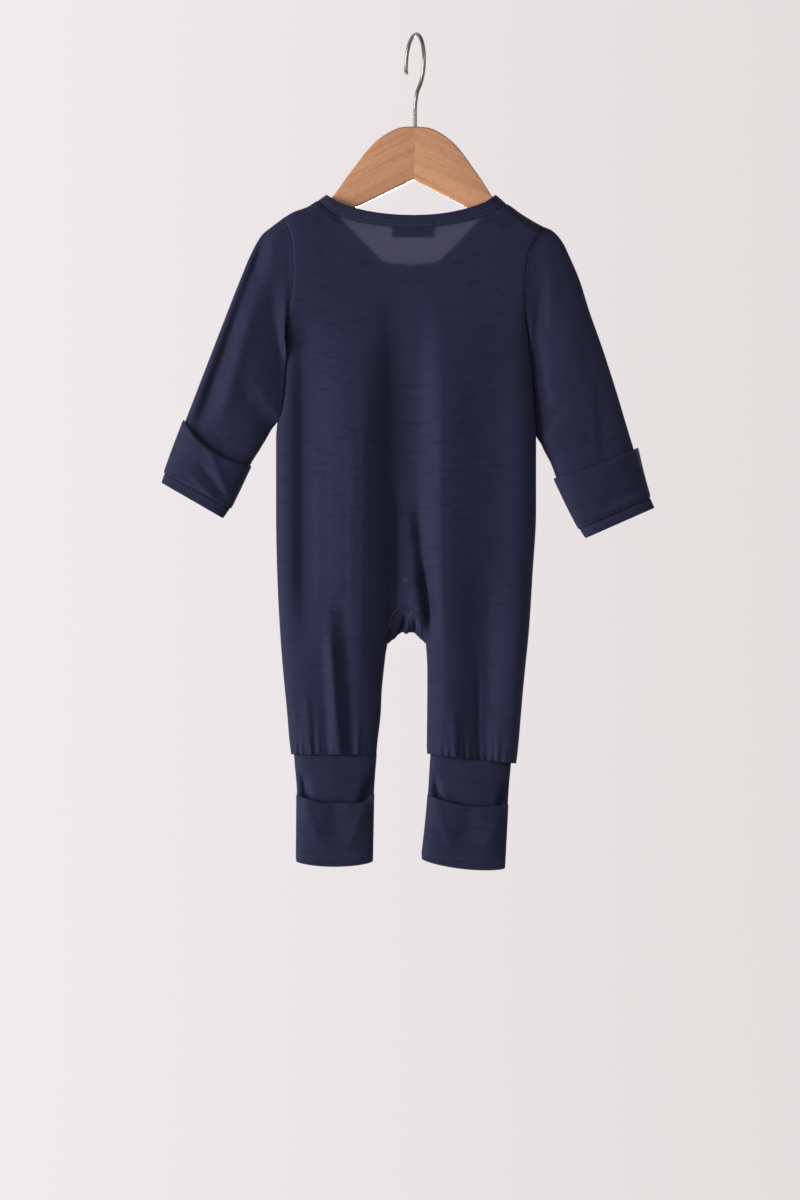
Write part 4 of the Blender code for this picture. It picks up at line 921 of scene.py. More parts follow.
JERSEY = jersey("navy jersey", NAVY, NAVY_DEEP, shine_through=0.2)
back = make_back()
fronts = {side: make_front(side) for side in (LEFT, RIGHT)}

# ---------------------------------------------------------------- crotch gusset
# A small shaped piece of the same jersey, set between the legs from the back's seam, under, to the
# fronts' seam. It is cut a little full, so it puckers in the middle.
GUSSET_LOW_Z, GUSSET_ARCH = -518.0, 12.0  # its lowest line between the legs, and the fall to its ends
GUSSET_TUCK = 2.0  # how far its ends run on inside the legs
# x and z of the upper end, x and z of the lower end, half widths left and right, height outwards
GUSSET_PUCKERS = [
    ("deep pucker", -7.6, -499, -13.5, -520, 1.8, 2.6, -4.2),
    ("roll beside it", -3.6, -501, -9.0, -522, 2.0, 2.2, 2.4),
    ("small pucker", 0.6, -502, -1.0, -522, 1.5, 1.5, -2.2),
    ("roll at the right leg", 4.6, -505, 5.6, -526, 1.8, 1.8, 1.2),
    ("roll at the left leg", -15.6, -504, -19.0, -528, 2.0, 2.0, 1.1),
]


def make_gusset():
    """A saddle: each column hangs as half a sine wave from the back's seam to the fronts'."""
    share = np.linspace(-1, 1, 70) * GUSSET_END
    turn = np.linspace(0, 1, 64)[:, None]
    seam_z = gusset_seam_z(abs(share)) - SEAM / 2
    depth = {}
    for face in (BACK, FRONT):
        left, right = (
            lower_rows(side, face, seam_z, np.array([1.0]))[:, 0, 1] for side in (LEFT, RIGHT)
        )
        depth[face] = np.where(share < 0, left, right)
    low = GUSSET_LOW_Z - GUSSET_ARCH * share**2
    swing = np.cos(math.pi * turn)
    tuck = GUSSET_TUCK * np.sign(share) * ease((abs(share) - 0.88) / 0.07) * np.sin(math.pi * turn)
    x = GUSSET_MID_X + GUSSET_HALF_X * share + tuck
    y = np.where(swing > 0, depth[BACK] * swing, -depth[FRONT] * swing)
    z = seam_z + (low - seam_z) * np.sin(math.pi * turn)
    grid = np.stack([x, y, z], axis=-1)
    middle = np.array([GUSSET_MID_X, 0.0, CROTCH_Z])
    normal = normals_of(grid, grid - middle)
    lift = fold_height(GUSSET_PUCKERS, x, z) * np.where(swing > 0, 1.0, 0.7) * (1 - abs(swing) ** 6)
    grid = grid + lift[..., None] * normal
    grid = seamed(grid, seam_way(grid, normal, 0.0), "tb")
    gusset = cloth("gusset", [grid], JERSEY, lambda centre: centre - middle)
    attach(gusset, "garment")
    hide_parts("crotch_gusset")
    return gusset


gusset = make_gusset()

# ---------------------------------------------------------------- neckband
# A strip of the same jersey folded double, sewn round the neck from one side of the zip to the
# other and held down by two rows of fine topstitching.
BAND_T = 1.7
BINDING_LIGHT = (0.0115, 0.0127, 0.0384)
THREAD = (0.020, 0.020, 0.040)
STITCH_PITCH, STITCH_L, STITCH_R = 2.5, 1.9, 0.2
NECK_SHARES = np.linspace(0.25, 1.0, 60)


def neck_line(columns):
    """The seam or the free edge, from the zip's left, round the back, to the zip's right."""
    pieces = []
    for side, face, backwards in (
        (LEFT, FRONT, True),
        (LEFT, BACK, False),
        (RIGHT, BACK, True),
        (RIGHT, FRONT, False),
    ):
        shares = NECK_SHARES[::-1] if backwards else NECK_SHARES
        x, y, z = (smooth_steps(NECK[side, face], shares, k) for k in columns)
        line = np.stack([x, face * y, z], axis=-1)
        pieces.append(line if not pieces else line[1:])
    return np.concatenate(pieces)


def flat_ring(start, stop, normal, thick, sides=28):
    """A closed flat section with round edges across a band, from its start line to its stop line.

    It is a superellipse: half the band's width one way and half its thickness the other.
    """
    turn = np.linspace(0, 2 * math.pi, sides, endpoint=False)
    cos, sin = np.cos(turn), np.sin(turn)
    along = np.sign(cos) * abs(cos) ** 0.5
    up = np.sign(sin) * abs(sin) ** 0.6
    middle, half = (start + stop) / 2, (stop - start) / 2
    return (
        middle[:, None]
        + half[:, None] * along[None, :, None]
        + normal[:, None] * thick / 2 * up[None, :, None]
    )


def closed_band(name, grid, material, body="garment"):
    """A closed tube of sections with flat ends, and each point's place in the cloth as an attribute."""
    rows, cols = grid.shape[:2]
    faces = grid_quads(rows, cols, ring=True).tolist()
    faces += [list(range(cols))[::-1], list(range((rows - 1) * cols, rows * cols))]
    piece = link_mesh(name, grid.reshape(-1, 3) * MM, faces, material)
    along = run_along(grid, 0).mean(axis=1)[:, None] + 0 * grid[..., 0]
    across = run_along(grid, 1).mean(axis=0)[None, :] + 0 * grid[..., 0]
    place = piece.data.attributes.new("cloth", "FLOAT_VECTOR", "POINT")
    flat = np.stack([across, along, 0 * along], axis=-1) * MM
    place.data.foreach_set("vector", flat.astype(np.float32).ravel())
    turn_out(piece)
    return piece


def thread_material():
    """Soft spun polyester thread, a shade deeper than the cloth."""
    made, tree, shader = node_material("navy thread")
    place = add_node(tree, "ShaderNodeTexCoord")
    twist = add_node(tree, "ShaderNodeTexNoise", Vector=place.outputs["Object"], Scale=3000.0, Detail=1.0)
    tone = add_node(tree, "ShaderNodeValToRGB", Fac=twist.outputs["Fac"])
    tone.color_ramp.elements[0].color = (*(0.7 * v for v in THREAD), 1)
    tone.color_ramp.elements[1].color = (*(1.5 * v for v in THREAD), 1)
    tree.links.new(tone.outputs["Color"], shader.inputs["Base Color"])
    shader.inputs["Roughness"].default_value = 0.6
    return made


def stitches(name, rows):
    """Short threads laid along lines: each row is (points, outward normals). A stitch is a thin spindle."""
    turn = np.linspace(0, 2 * math.pi, 6, endpoint=False)
    share = np.array([-1.0, -0.8, 0.0, 0.8, 1.0])
    girth = np.array([0.15, 0.8, 1.0, 0.8, 0.15]) * STITCH_R
    rise = np.array([-1.0, 0.2, 0.8, 0.2, -1.0]) * STITCH_R
    points = []
    for line, normal in rows:
        run = np.concatenate([[0], np.cumsum(np.linalg.norm(np.diff(line, axis=0), axis=1))])
        at = np.arange(STITCH_PITCH / 2, run[-1], STITCH_PITCH)
        place, out, ahead, behind = (
            np.stack([np.interp(spot, run, values[:, k]) for k in range(3)], axis=-1)
            for spot, values in ((at, line), (at, normal), (at + 0.5, line), (at - 0.5, line))
        )
        along, out = unit(ahead - behind), unit(out)
        side = np.cross(along, out)
        ring = np.cos(turn)[None, :, None] * side[:, None] + np.sin(turn)[None, :, None] * out[:, None]
        middle = place[:, None] + (STITCH_L / 2 * share)[None, :, None] * along[:, None]
        middle = middle + rise[None, :, None] * out[:, None]
        points.append((middle[:, :, None] + girth[None, :, None, None] * ring[:, None]).reshape(-1, 3))
    points = np.concatenate(points)
    each = len(share) * len(turn)
    one = grid_quads(len(share), len(turn), ring=True).tolist()
    one += [list(range(6))[::-1], list(range(each - 6, each))]
    faces = [[i + k * each for i in face] for k in range(len(points) // each) for face in one]
    piece = link_mesh(name, points * MM, faces, THREAD_NAVY)
    turn_out(piece)
    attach(piece, "garment")
    return piece


def make_neckband():
    """The band's sections, upright at the crest of the shoulder and level with the body elsewhere."""
    seam, edge = neck_line((1, 2, 3)), neck_line((4, 5, 6))
    across = unit(edge - seam)
    seam = seam - 1.1 * across
    along = unit(np.gradient((seam + edge) / 2, axis=0))
    out = unit(np.cross(along, across))
    out = out * np.where((out * (seam * [0.3, 1, 0] + [0, 0, 6])).sum(axis=1, keepdims=True) < 0, -1, 1)
    grid = flat_ring(seam, edge, out, BAND_T)
    grid = grid - out[:, None] * BAND_T * 0.35
    band = closed_band("neck_binding", grid, BINDING)
    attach(band, "garment")
    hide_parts("neckband")
    rows = [(seam * (1 - s) + edge * s + out * BAND_T * 0.17, out) for s in (0.22, 0.5)]
    stitches("neck_stitches", rows)
    return band


BINDING = jersey("navy binding", BINDING_LIGHT, NAVY_DEEP)
THREAD_NAVY = thread_material()
neckband = make_neckband()

# ---------------------------------------------------------------- neck label
# A blank woven satin tab, sewn flat inside the back of the neck just under the band.
LABEL_X, LABEL_Z = (-20.0, 17.4), (-158.5, -176.0)
LABEL_DEPTH, LABEL_BOW, LABEL_T = 9.0, 0.0028, 0.5


def satin_weave():
    """Close satin: long floats across the tab as very fine bump, with a low shine."""
    made, tree, shader = node_material("label satin")
    flat = add_node(tree, "ShaderNodeAttribute", {"attribute_name": "cloth"})
    stretched = add_node(tree, "ShaderNodeMapping", Vector=flat.outputs["Vector"], Scale=(500, 4000, 1))
    floats = add_node(tree, "ShaderNodeTexNoise", Vector=stretched.outputs["Vector"], Scale=1.0, Detail=2.0)
    tone = add_node(tree, "ShaderNodeValToRGB", Fac=floats.outputs["Fac"])
    tone.color_ramp.elements[0].color = (0.009, 0.009, 0.018, 1)
    tone.color_ramp.elements[1].color = (0.018, 0.018, 0.036, 1)
    tree.links.new(tone.outputs["Color"], shader.inputs["Base Color"])
    relief = add_node(tree, "ShaderNodeBump", Strength=0.3, Distance=0.00005, Height=floats.outputs["Fac"])
    tree.links.new(relief.outputs["Normal"], shader.inputs["Normal"])
    shader.inputs["Roughness"].default_value = 0.6
    shader.inputs["Specular IOR Level"].default_value = 0.15
    return made


def make_label():
    """A small sheet bowed with the back: y falls off as the square of the distance from the middle."""
    z, x = np.meshgrid(np.linspace(*LABEL_Z, 20), np.linspace(*LABEL_X, 40), indexing="ij")
    y = LABEL_BOW * x**2 - LABEL_DEPTH + 0.12 * np.sin(x / 5) * np.sin((z + 158) / 8)
    grid = np.stack([x, y, z], axis=-1)
    tab = cloth("label", [grid], satin_weave(), outward_y(BACK), wall=LABEL_T)
    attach(tab, "garment")
    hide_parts("neck_label")
    return tab


label = make_label()

# ---------------------------------------------------------------- sleeves, mitten flaps and sleeve bands
# Each sleeve is one tube of jersey set into the armhole. Near its end a fold-over mitten lies flat on
# the back of the wrist, sewn in at the sides and at the band, and open towards the elbow; the band
# is a doubled strip with one row of topstitching.
# Sleeve sections from the armhole to the band: outer x, z, inner x, z, half depth, squareness, bow
SLEEVE = {
    LEFT: [
        (-124.5, -165.8, -114.0, -277, 10.6, 4.2, -4.0),
        (-133.5, -173.4, -114.3, -285, 11.0, 4.0, -1.0),
        (-142.5, -189.0, -114.9, -295, 11.5, 3.2, 0.0),
        (-152.5, -213.0, -115.7, -308, 12.2, 3.6, 0.0),
        (-163.5, -241.0, -118.3, -323, 13.0, 4.0, 0.0),
        (-175.5, -272.0, -124.0, -340, 13.0, 4.0, 0.0),
        (-187.5, -303.0, -133.6, -357, 12.5, 3.8, 0.0),
        (-199.5, -334.0, -143.5, -373, 12.0, 3.4, 9.0),
        (-209.5, -359.0, -153.0, -393, 11.0, 2.6, 3.0),
        (-217.2, -380.0, -161.2, -410, 10.0, 2.6, 0.0),
    ],
    RIGHT: [
        (119.8, -169.6, 100.5, -273, 10.6, 4.2, 4.0),
        (128.0, -178.8, 101.0, -281, 11.0, 4.0, 1.0),
        (135.5, -194.0, 101.6, -291, 11.5, 3.2, 0.0),
        (143.5, -213.0, 102.3, -303, 12.2, 2.8, 0.0),
        (152.0, -240.0, 103.6, -319, 13.0, 2.6, 0.0),
        (163.0, -271.0, 105.4, -337, 13.0, 2.6, 0.0),
        (174.0, -305.0, 110.4, -356, 12.5, 2.6, 0.0),
        (183.0, -335.0, 118.0, -371, 12.0, 2.6, 0.0),
        (190.0, -358.0, 123.0, -384, 12.0, 2.6, -2.5),
        (197.0, -380.0, 133.0, -407, 11.0, 2.6, 0.0),
        (203.5, -401.0, 143.5, -428, 10.0, 2.6, 0.0),
    ],
}
# first section that the mitten flap covers, and the band's lower end: outer x, z, inner x, z
FLAP_FROM = {LEFT: 8, RIGHT: 9}
BAND_END = {LEFT: (-220.1, -388.5, -167.5, -418.9), RIGHT: (207.9, -410.2, 148.8, -436.3)}
BAND_DEPTH = 9.6
FLAP_LIFT = {LEFT: 2.6, RIGHT: 1.8}  # how far the flap's free edge stands off the sleeve
FLAP_CORNER = {LEFT: (0.5, 0.2), RIGHT: (2.6, 1.2)}  # how far its outer and inner corners stand proud
FLAP_T = 1.1
# down to which height a sleeve lies against the body's side, how far its edge overlaps it there, and how
# far it stands towards the back
HUG_TO = {LEFT: -343.0, RIGHT: -356.0}
HUG_X = {LEFT: 2.2, RIGHT: 1.2}
HUG_Y = {LEFT: 4.4, RIGHT: -3.5}
CAP_PROUD = 0.25  # the armhole's allowances are pressed into the sleeve, so its edge stands up a little
# Folds, with the columns of BACK_FOLDS
SLEEVE_FOLDS = {
    LEFT: [
        ("trough near the outer edge", -117, -140, -197, -362, 5.5, 9, -6.0),
        ("ridge down the sleeve", -136, -190, -170, -352, 8, 9, 2.6),
        ("fall to the inner edge", -108, -196, -128, -374, 16, 8, -5.5),
        ("crease inside the elbow", -128, -296, -152, -318, 4, 4, -0.7),
    ],
    RIGHT: [
        ("ridge under the cap", 112, -186, 120, -262, 5, 8, 1.1),
        ("long hollow", 143, -240, 170, -390, 8, 12, -1.3),
        ("streak above the flap", 152, -280, 158, -372, 5, 4, 0.7),
        ("trough into the armpit", 104, -250, 116, -330, 5, 4, -1.2),
        ("pull from the underarm", 108, -300, 140, -330, 4, 4, 0.5),
    ],
}
FLAP_FOLDS = {
    LEFT: [
        ("diagonal hollow", -190, -368, -160, -406, 4, 3.5, -1.7),
        ("ridge beside it", -181, -352, -161, -404, 3.5, 3.5, 1.3),
        ("crease to the band", -199, -376, -166, -412, 3, 3, 0.9),
        ("crease along the band", -176, -397, -160, -409, 2.2, 2.2, -0.8),
    ],
    RIGHT: [
        ("crease at the lower edge", 160, -417, 206, -395, 3.5, 3.5, 0.9),
        ("hollow above it", 158, -408, 202, -388, 4.5, 4.5, -0.8),
        ("soft middle", 152, -388, 186, -372, 6, 6, 0.5),
    ],
}


def section(s, face, outer, inner, depth, power, bow=0.0):
    """A flat ring between an outer and an inner point, bowed along the sleeve by bow in its middle."""
    share = (1 + s) / 2
    x = inner[0] + (outer[0] - inner[0]) * share
    z = inner[1] + (outer[1] - inner[1]) * share
    length = math.hypot(outer[0] - inner[0], outer[1] - inner[1])
    x = x - bow * (1 - s**2) * (outer[1] - inner[1]) / length
    z = z + bow * (1 - s**2) * (outer[0] - inner[0]) / length
    y = face * depth * np.clip(1 - abs(s) ** power, 0, 1) ** (1 / power)
    return np.stack([x, y, z], axis=-1)


def sleeve_rings(side, q):
    """The armhole's ring and each section's, at shares q of the way round: 0 outer edge, 0.5 inner."""
    s = np.cos(2 * math.pi * q)
    face = np.where(np.sin(2 * math.pi * q) >= 0, BACK, FRONT)
    first = armhole(side, 1, (1 - s) / 2)
    first[:, 0] += side * SEAM
    first[:, 1] = np.where(abs(s) > 0.9999, 0.0, face * first[:, 1])
    rings = [first]
    for outer_x, outer_z, inner_x, inner_z, depth, power, bow in SLEEVE[side]:
        rings.append(section(s, face, (outer_x, outer_z), (inner_x, inner_z), depth, power, bow))
    return np.stack(rings)


def smooth_between(rings, at):
    """A curve through each column of the rings at places at, with slopes from each ring's neighbours."""
    slope = np.gradient(rings, axis=0)
    i = np.clip(np.floor(at).astype(int), 0, len(rings) - 2)
    t = (at - i)[:, None, None]
    start = rings[i] * (2 * t**3 - 3 * t**2 + 1) + slope[i] * (t**3 - 2 * t**2 + t)
    return start + rings[i + 1] * (3 * t**2 - 2 * t**3) + slope[i + 1] * (t**3 - t**2)


def beside_body(side, s, grid):
    """Lays the sleeve's inner edge a little over the back of the body's side, where it hangs against it."""
    edge_x, edge_z = (grid[:, s.argmin(), k][:, None] for k in (0, 2))
    near = ease((ARMPIT_Z - 1 - edge_z) / 8) * ease((edge_z - HUG_TO[side]) / 14)
    over = smooth_steps(BODY_SIDES, edge_z, 1 if side == LEFT else 2) - side * HUG_X[side] - edge_x
    grid[..., 0] += over * near * ease((-s[None, :] - 0.7) / 0.3)
    grid[..., 1] -= HUG_Y[side] * near * ease((0.4 - s[None, :]) / 1.4)


def ring_axis(grid):
    """Middle of each ring, spread over its points."""
    return (grid.min(axis=1, keepdims=True) + grid.max(axis=1, keepdims=True)) / 2


def sleeve_surface(side, at, q):
    """The sleeve at places at between its rings, with its folds, which fade towards its side folds."""
    grid = smooth_between(sleeve_rings(side, q), at)
    lift = fold_height(SLEEVE_FOLDS[side], grid[..., 0], grid[..., 2])
    lift = lift * np.where(grid[..., 1] < 0, 1.0, 0.8) + unevenness(grid[..., 2], grid[..., 0])
    rounding = np.clip(abs(grid[..., 1]) / 9, 0, 1)
    grid[..., 1] += np.sign(grid[..., 1]) * lift * rounding * ease((at - 0.5) / 2)[:, None]
    beside_body(side, np.cos(2 * math.pi * q), grid)
    return grid


def make_sleeve(side):
    """The tube from the armhole to the band, its top edge turned in at the armhole's seam."""
    rings = len(SLEEVE[side])
    q = np.arange(120) / 120
    at = np.concatenate([np.linspace(0, 1, 16)[:-1] ** 1.3, np.linspace(1, rings, 130)])
    grid = sleeve_surface(side, at, q)
    normal = normals_of(grid, grid - ring_axis(grid), ring=True)
    down = run_along(grid, 0)
    sink = 0.6 * np.exp(-(((down[-1] - down) / 1.4) ** 2))
    pucker = 0.22 * np.sin(70 * math.pi * q + 2 * np.sin(9 * q)) * np.exp(-down / 7)
    fold = np.clip(abs(grid[..., 1]) / 3, 0, 1)
    way = seam_way(grid, normal, ease((down - 4) / 6))
    proud = CAP_PROUD * np.exp(-((down / 2.5) ** 2))
    grid = grid - (SEAM_DIP * sink - proud - pucker * fold)[..., None] * way
    grid = np.concatenate([grid[:1] - ALLOWANCE * way[:1], grid])
    word = SIDE_WORD[side]
    middle = ring_axis(grid)[:, 0]
    lies = from_line(middle)
    tube_piece = cloth(f"sleeve_{word}_tube", [grid], JERSEY, lies, ring=True, turn=(side * OWN_PLACE, 0.0))
    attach(tube_piece, "garment")
    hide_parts(f"sleeve_{word}")
    return tube_piece


def from_line(line):
    """A function giving the way from a line's nearest point to each centre."""

    def away(centres):
        near = np.linalg.norm(centres[:, None] - line[None], axis=2).argmin(axis=1)
        return centres - line[near]

    return away


def make_band(side):
    """The doubled strip at the wrist: a closed flat section swept round the sleeve's end."""
    q = np.arange(96) / 96
    s = np.cos(2 * math.pi * q)
    face = np.where(np.sin(2 * math.pi * q) >= 0, BACK, FRONT)
    outer_x, outer_z, inner_x, inner_z = BAND_END[side]
    end = SLEEVE[side][-1]
    step = unit(np.array([outer_x + inner_x - end[0] - end[2], 0, outer_z + inner_z - end[1] - end[3]]))
    start = sleeve_rings(side, q)[-1] - 0.6 * step
    stop = section(s, face, (outer_x, outer_z), (inner_x, inner_z), BAND_DEPTH, TUBE_POWER)
    both = np.stack([start, (start + stop) / 2, stop])
    normal = normals_of(both, both - ring_axis(both), ring=True)[1]
    grid = flat_ring(start, stop, normal, BAND_T, sides=20) - normal[:, None] * 0.2
    word = SIDE_WORD[side]
    closed = np.concatenate([grid, grid[:1]])
    faces = grid_quads(*closed.shape[:2], ring=True)
    faces = np.where(faces >= grid.shape[0] * grid.shape[1], faces - grid.shape[0] * grid.shape[1], faces)
    band = link_mesh(f"wrist_band_{word}", grid.reshape(-1, 3) * MM, faces, BINDING)
    turn_out(band)
    around = run_along(closed, 0).mean(axis=1)[:-1, None] + 0 * grid[..., 0]
    across = run_along(grid, 1).mean(axis=0)[None] + 0 * grid[..., 0]
    place = band.data.attributes.new("cloth", "FLOAT_VECTOR", "POINT")
    flat = np.stack([across, around, 0 * across], axis=-1) * MM
    place.data.foreach_set("vector", flat.astype(np.float32).ravel())
    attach(band, "garment")
    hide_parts(f"sleeve_band_{word}")
    line = start * 0.62 + stop * 0.38 + normal * (BAND_T / 2 - 0.2)
    line, out = (np.concatenate([v, v[:1]]) for v in (line, normal))
    stitches(f"wrist_stitches_{word}", [(line, out)])
    return band


def make_flap(side):
    """The sleeve's own surface from the mouth to the band, moved out; its mouth stands open a little."""
    rings = len(SLEEVE[side])
    q = np.linspace(0.004, 0.496, 90)
    share = np.linspace(0, 1, 60)
    at = FLAP_FROM[side] + share * (rings - FLAP_FROM[side])
    around = np.concatenate([q, 1 - q[::-1]])
    whole = smooth_between(sleeve_rings(side, around), at)
    normal = normals_of(whole, whole - ring_axis(whole), ring=True)[:, :90]
    grid = whole[:, :90]
    s = np.cos(2 * math.pi * q)[None, :]
    open_up = (1 - share[:, None]) ** 2
    lift = JERSEY_T + FLAP_T + FLAP_LIFT[side] * open_up * np.sin(2 * math.pi * q)[None, :] ** 2
    lift = lift + fold_height(FLAP_FOLDS[side], grid[..., 0], grid[..., 2]) * np.sin(2 * math.pi * q) ** 0.7
    outer, inner = FLAP_CORNER[side]
    corner = (outer * ease((s - 0.6) / 0.4) + inner * ease((-s - 0.6) / 0.4)) * open_up
    edge_roll = 0.5 * np.exp(-((run_along(grid, 0) / 1.2) ** 2))
    hem = SEAM_DIP * np.exp(-(((run_along(grid, 0)[-1] - run_along(grid, 0)) / 2.0) ** 2))
    grid = grid + (lift - edge_roll - hem)[..., None] * normal
    grid[..., 0] += side * corner * np.sign(s)
    word = SIDE_WORD[side]
    middle = ring_axis(whole)[:, 0] + [0.0, 6.0, 0.0]
    flap = cloth(
        f"mitten_{word}",
        [grid],
        JERSEY,
        from_line(middle),
        wall=FLAP_T,
        turn=(side * OWN_PLACE, 800.0),
    )
    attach(flap, "garment")
    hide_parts(f"mitten_flap_{word}")
    return flap


sleeves = {side: make_sleeve(side) for side in (LEFT, RIGHT)}
bands = {side: make_band(side) for side in (LEFT, RIGHT)}
flaps = {side: make_flap(side) for side in (LEFT, RIGHT)}

# ---------------------------------------------------------------- ankle cuffs and foot flaps
# A plain tube of jersey finishes each leg. A fold-over foot is sewn to it: it starts as a pocket's
# mouth across the back of the ankle, hangs below the cuff and turns under to its front edge.
# Ankle cuff sections: height, outer x, inner x, half depth
CUFF = {
    LEFT: [
        (-624.6, -105.2, -33.2, 11.0),
        (-640.0, -104.0, -34.5, 11.0),
        (-657.0, -102.8, -35.6, 10.5),
        (-688.0, -103.1, -36.2, 9.5),
        (-711.0, -103.4, -36.6, 8.5),
    ],
    RIGHT: [
        (-628.2, 83.6, 13.4, 11.0),
        (-643.0, 82.2, 12.4, 11.0),
        (-660.0, 81.0, 11.4, 10.5),
        (-690.0, 79.6, 8.6, 9.5),
        (-713.0, 78.4, 5.9, 8.5),
    ],
}
CUFF_TILT = {LEFT: 0.0, RIGHT: 0.11}
# foot flap: share of the way across from the inner edge, height of its free edge
FOOT_MOUTH = {
    LEFT: [(0.0, -658.5), (0.12, -664.5), (0.3, -666.4), (0.6, -666.4), (0.85, -662.5), (1.0, -659.5)],
    RIGHT: [(0.0, -663.0), (0.15, -665.6), (0.4, -668.6), (0.6, -668.8), (0.85, -666.0), (1.0, -664.0)],
}
FOOT_DROP = 8.0  # how far the flap's fold hangs below the cuff
FOOT_SAG = 3.2  # how much lower its middle hangs than its corners
FOOT_SIDE = 0.992  # share of the cuff's half width that the flap covers
FOOT_LIFT = 2.2
CUFF_FOLDS = {
    LEFT: [
        ("hollow from the outer corner", -102, -636, -91, -680, 3.5, 4.5, -5.0),
        ("hollow from the inner corner", -35, -638, -48, -680, 4.5, 3.5, -5.2),
        ("soft middle", -70, -622, -71, -668, 12, 12, 0.6),
    ],
    RIGHT: [
        ("hollow from the inner corner", 14, -640, 24, -682, 3, 3.5, -4.6),
        ("hollow from the outer corner", 81, -642, 70, -686, 3.5, 3, -4.6),
        ("soft middle", 46, -622, 46, -672, 12, 12, 0.6),
    ],
}
FOOT_FOLDS = {
    LEFT: [
        ("pull from the outer corner", -101, -656, -78, -712, 5, 5, 0.9),
        ("pull from the inner corner", -38, -656, -60, -712, 5, 5, 0.9),
        ("hollow middle", -70, -656, -69, -700, 9, 9, -1.4),
    ],
    RIGHT: [
        ("pull from the inner corner", 12, -654, 34, -712, 5, 5, 0.9),
        ("pull from the outer corner", 79, -664, 58, -716, 5, 5, 0.9),
        ("hollow middle", 47, -660, 45, -704, 9, 9, -1.4),
    ],
}


def cuff_point(side, s, z, face, grow):
    """Points of a cuff's surface at shares s of its half width and heights z, moved out by grow."""
    outer_x, inner_x = smooth_steps(CUFF[side], z, 1), smooth_steps(CUFF[side], z, 2)
    middle, half = (outer_x + inner_x) / 2, abs(outer_x - inner_x) / 2
    x = middle + side * (half + 0.3 * grow) * s
    squash = np.clip(1 - abs(s) ** TUBE_POWER, 0, 1) ** (1 / TUBE_POWER)
    y = face * (smooth_steps(CUFF[side], z, 3) + grow) * squash
    return np.stack([x, y, z - CUFF_TILT[side] * (x - middle)], axis=-1)


def make_cuff(side):
    """A tube of flattened ellipses from the gathered seam to the ankle's free edge."""
    q = np.arange(110) / 110
    s = np.cos(2 * math.pi * q)[None, :]
    face = -np.sign(np.sin(2 * math.pi * q) + 1e-9)[None, :]
    z = np.linspace(CUFF[side][0][0], CUFF[side][-1][0], 80)[:, None] + 0 * s
    grid = cuff_point(side, s + 0 * z, z, face, 0.0)
    normal = normals_of(grid, grid - ring_axis(grid), ring=True)
    lift = fold_height(CUFF_FOLDS[side], grid[..., 0], grid[..., 2]) * (grid[..., 1] < 0)
    lift = (lift + unevenness(grid[..., 0], grid[..., 2])) * np.clip(abs(grid[..., 1]) / 5, 0, 1)
    grid = grid + lift[..., None] * normal
    way = seam_way(grid, normal, 0.0)
    grid = grid - (SEAM_DIP * np.exp(-((run_along(grid, 0) / SEAM_DIP_W) ** 2)))[..., None] * way
    grid = np.concatenate([grid[:1] - ALLOWANCE * way[:1], grid])
    word = SIDE_WORD[side]
    lies = from_line(ring_axis(grid)[:, 0])
    cuff = cloth(f"cuff_{word}", [grid], JERSEY, lies, ring=True, turn=(side * OWN_PLACE, 400.0))
    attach(cuff, "garment")
    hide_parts(f"ankle_cuff_{word}")
    return cuff


def make_foot(side):
    """Down the back of the cuff from the mouth, then a half turn under to the cuff's front edge."""
    s = FOOT_SIDE * np.cos(math.pi * np.linspace(0, 1, 90))[None, :]
    squash = (1 - abs(s) ** TUBE_POWER) ** (1 / TUBE_POWER)
    mouth = smooth_steps(FOOT_MOUTH[side], (1 + s) / 2)
    bottom = CUFF[side][-1][0]
    part = np.linspace(0, 1, 60)[:, None]
    lap = JERSEY_T + FLAP_T
    z = mouth * (1 - part) + bottom * part
    drop = cuff_point(side, s + 0 * z, z, BACK, lap + FOOT_LIFT * (1 - part) ** 2 * squash)
    lift = fold_height(FOOT_FOLDS[side], drop[..., 0], drop[..., 2])
    drop[..., 1] -= lift * squash * ease((1 - part) / 0.15)
    turn = np.linspace(0, 1, 26)[1:, None]
    angle = math.pi * turn
    face = np.where(turn <= 0.5, BACK, FRONT)
    under = cuff_point(side, s + 0 * turn, bottom + 0 * s * turn, face, lap * (1 - turn))
    under[..., 1] *= abs(np.cos(angle))
    under[..., 2] -= (FOOT_DROP + FOOT_SAG * (1 - s**2)) * np.sin(angle) * squash**0.25 + 0.3 * turn
    grid = np.concatenate([drop, under])
    middle = np.array([(CUFF[side][-1][1] + CUFF[side][-1][2]) / 2, 0.0, bottom])

    def away(centres):
        return (centres - middle) * [1, 1, 0] + np.where(centres[:, 2:] < bottom, centres - middle, 0)

    word = SIDE_WORD[side]
    foot = cloth(f"foot_{word}", [grid], JERSEY, away, wall=FLAP_T, turn=(side * OWN_PLACE, 600.0))
    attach(foot, "garment")
    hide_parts(f"foot_flap_{word}")
    return foot


cuffs = {side: make_cuff(side) for side in (LEFT, RIGHT)}
feet = {side: make_foot(side) for side in (LEFT, RIGHT)}

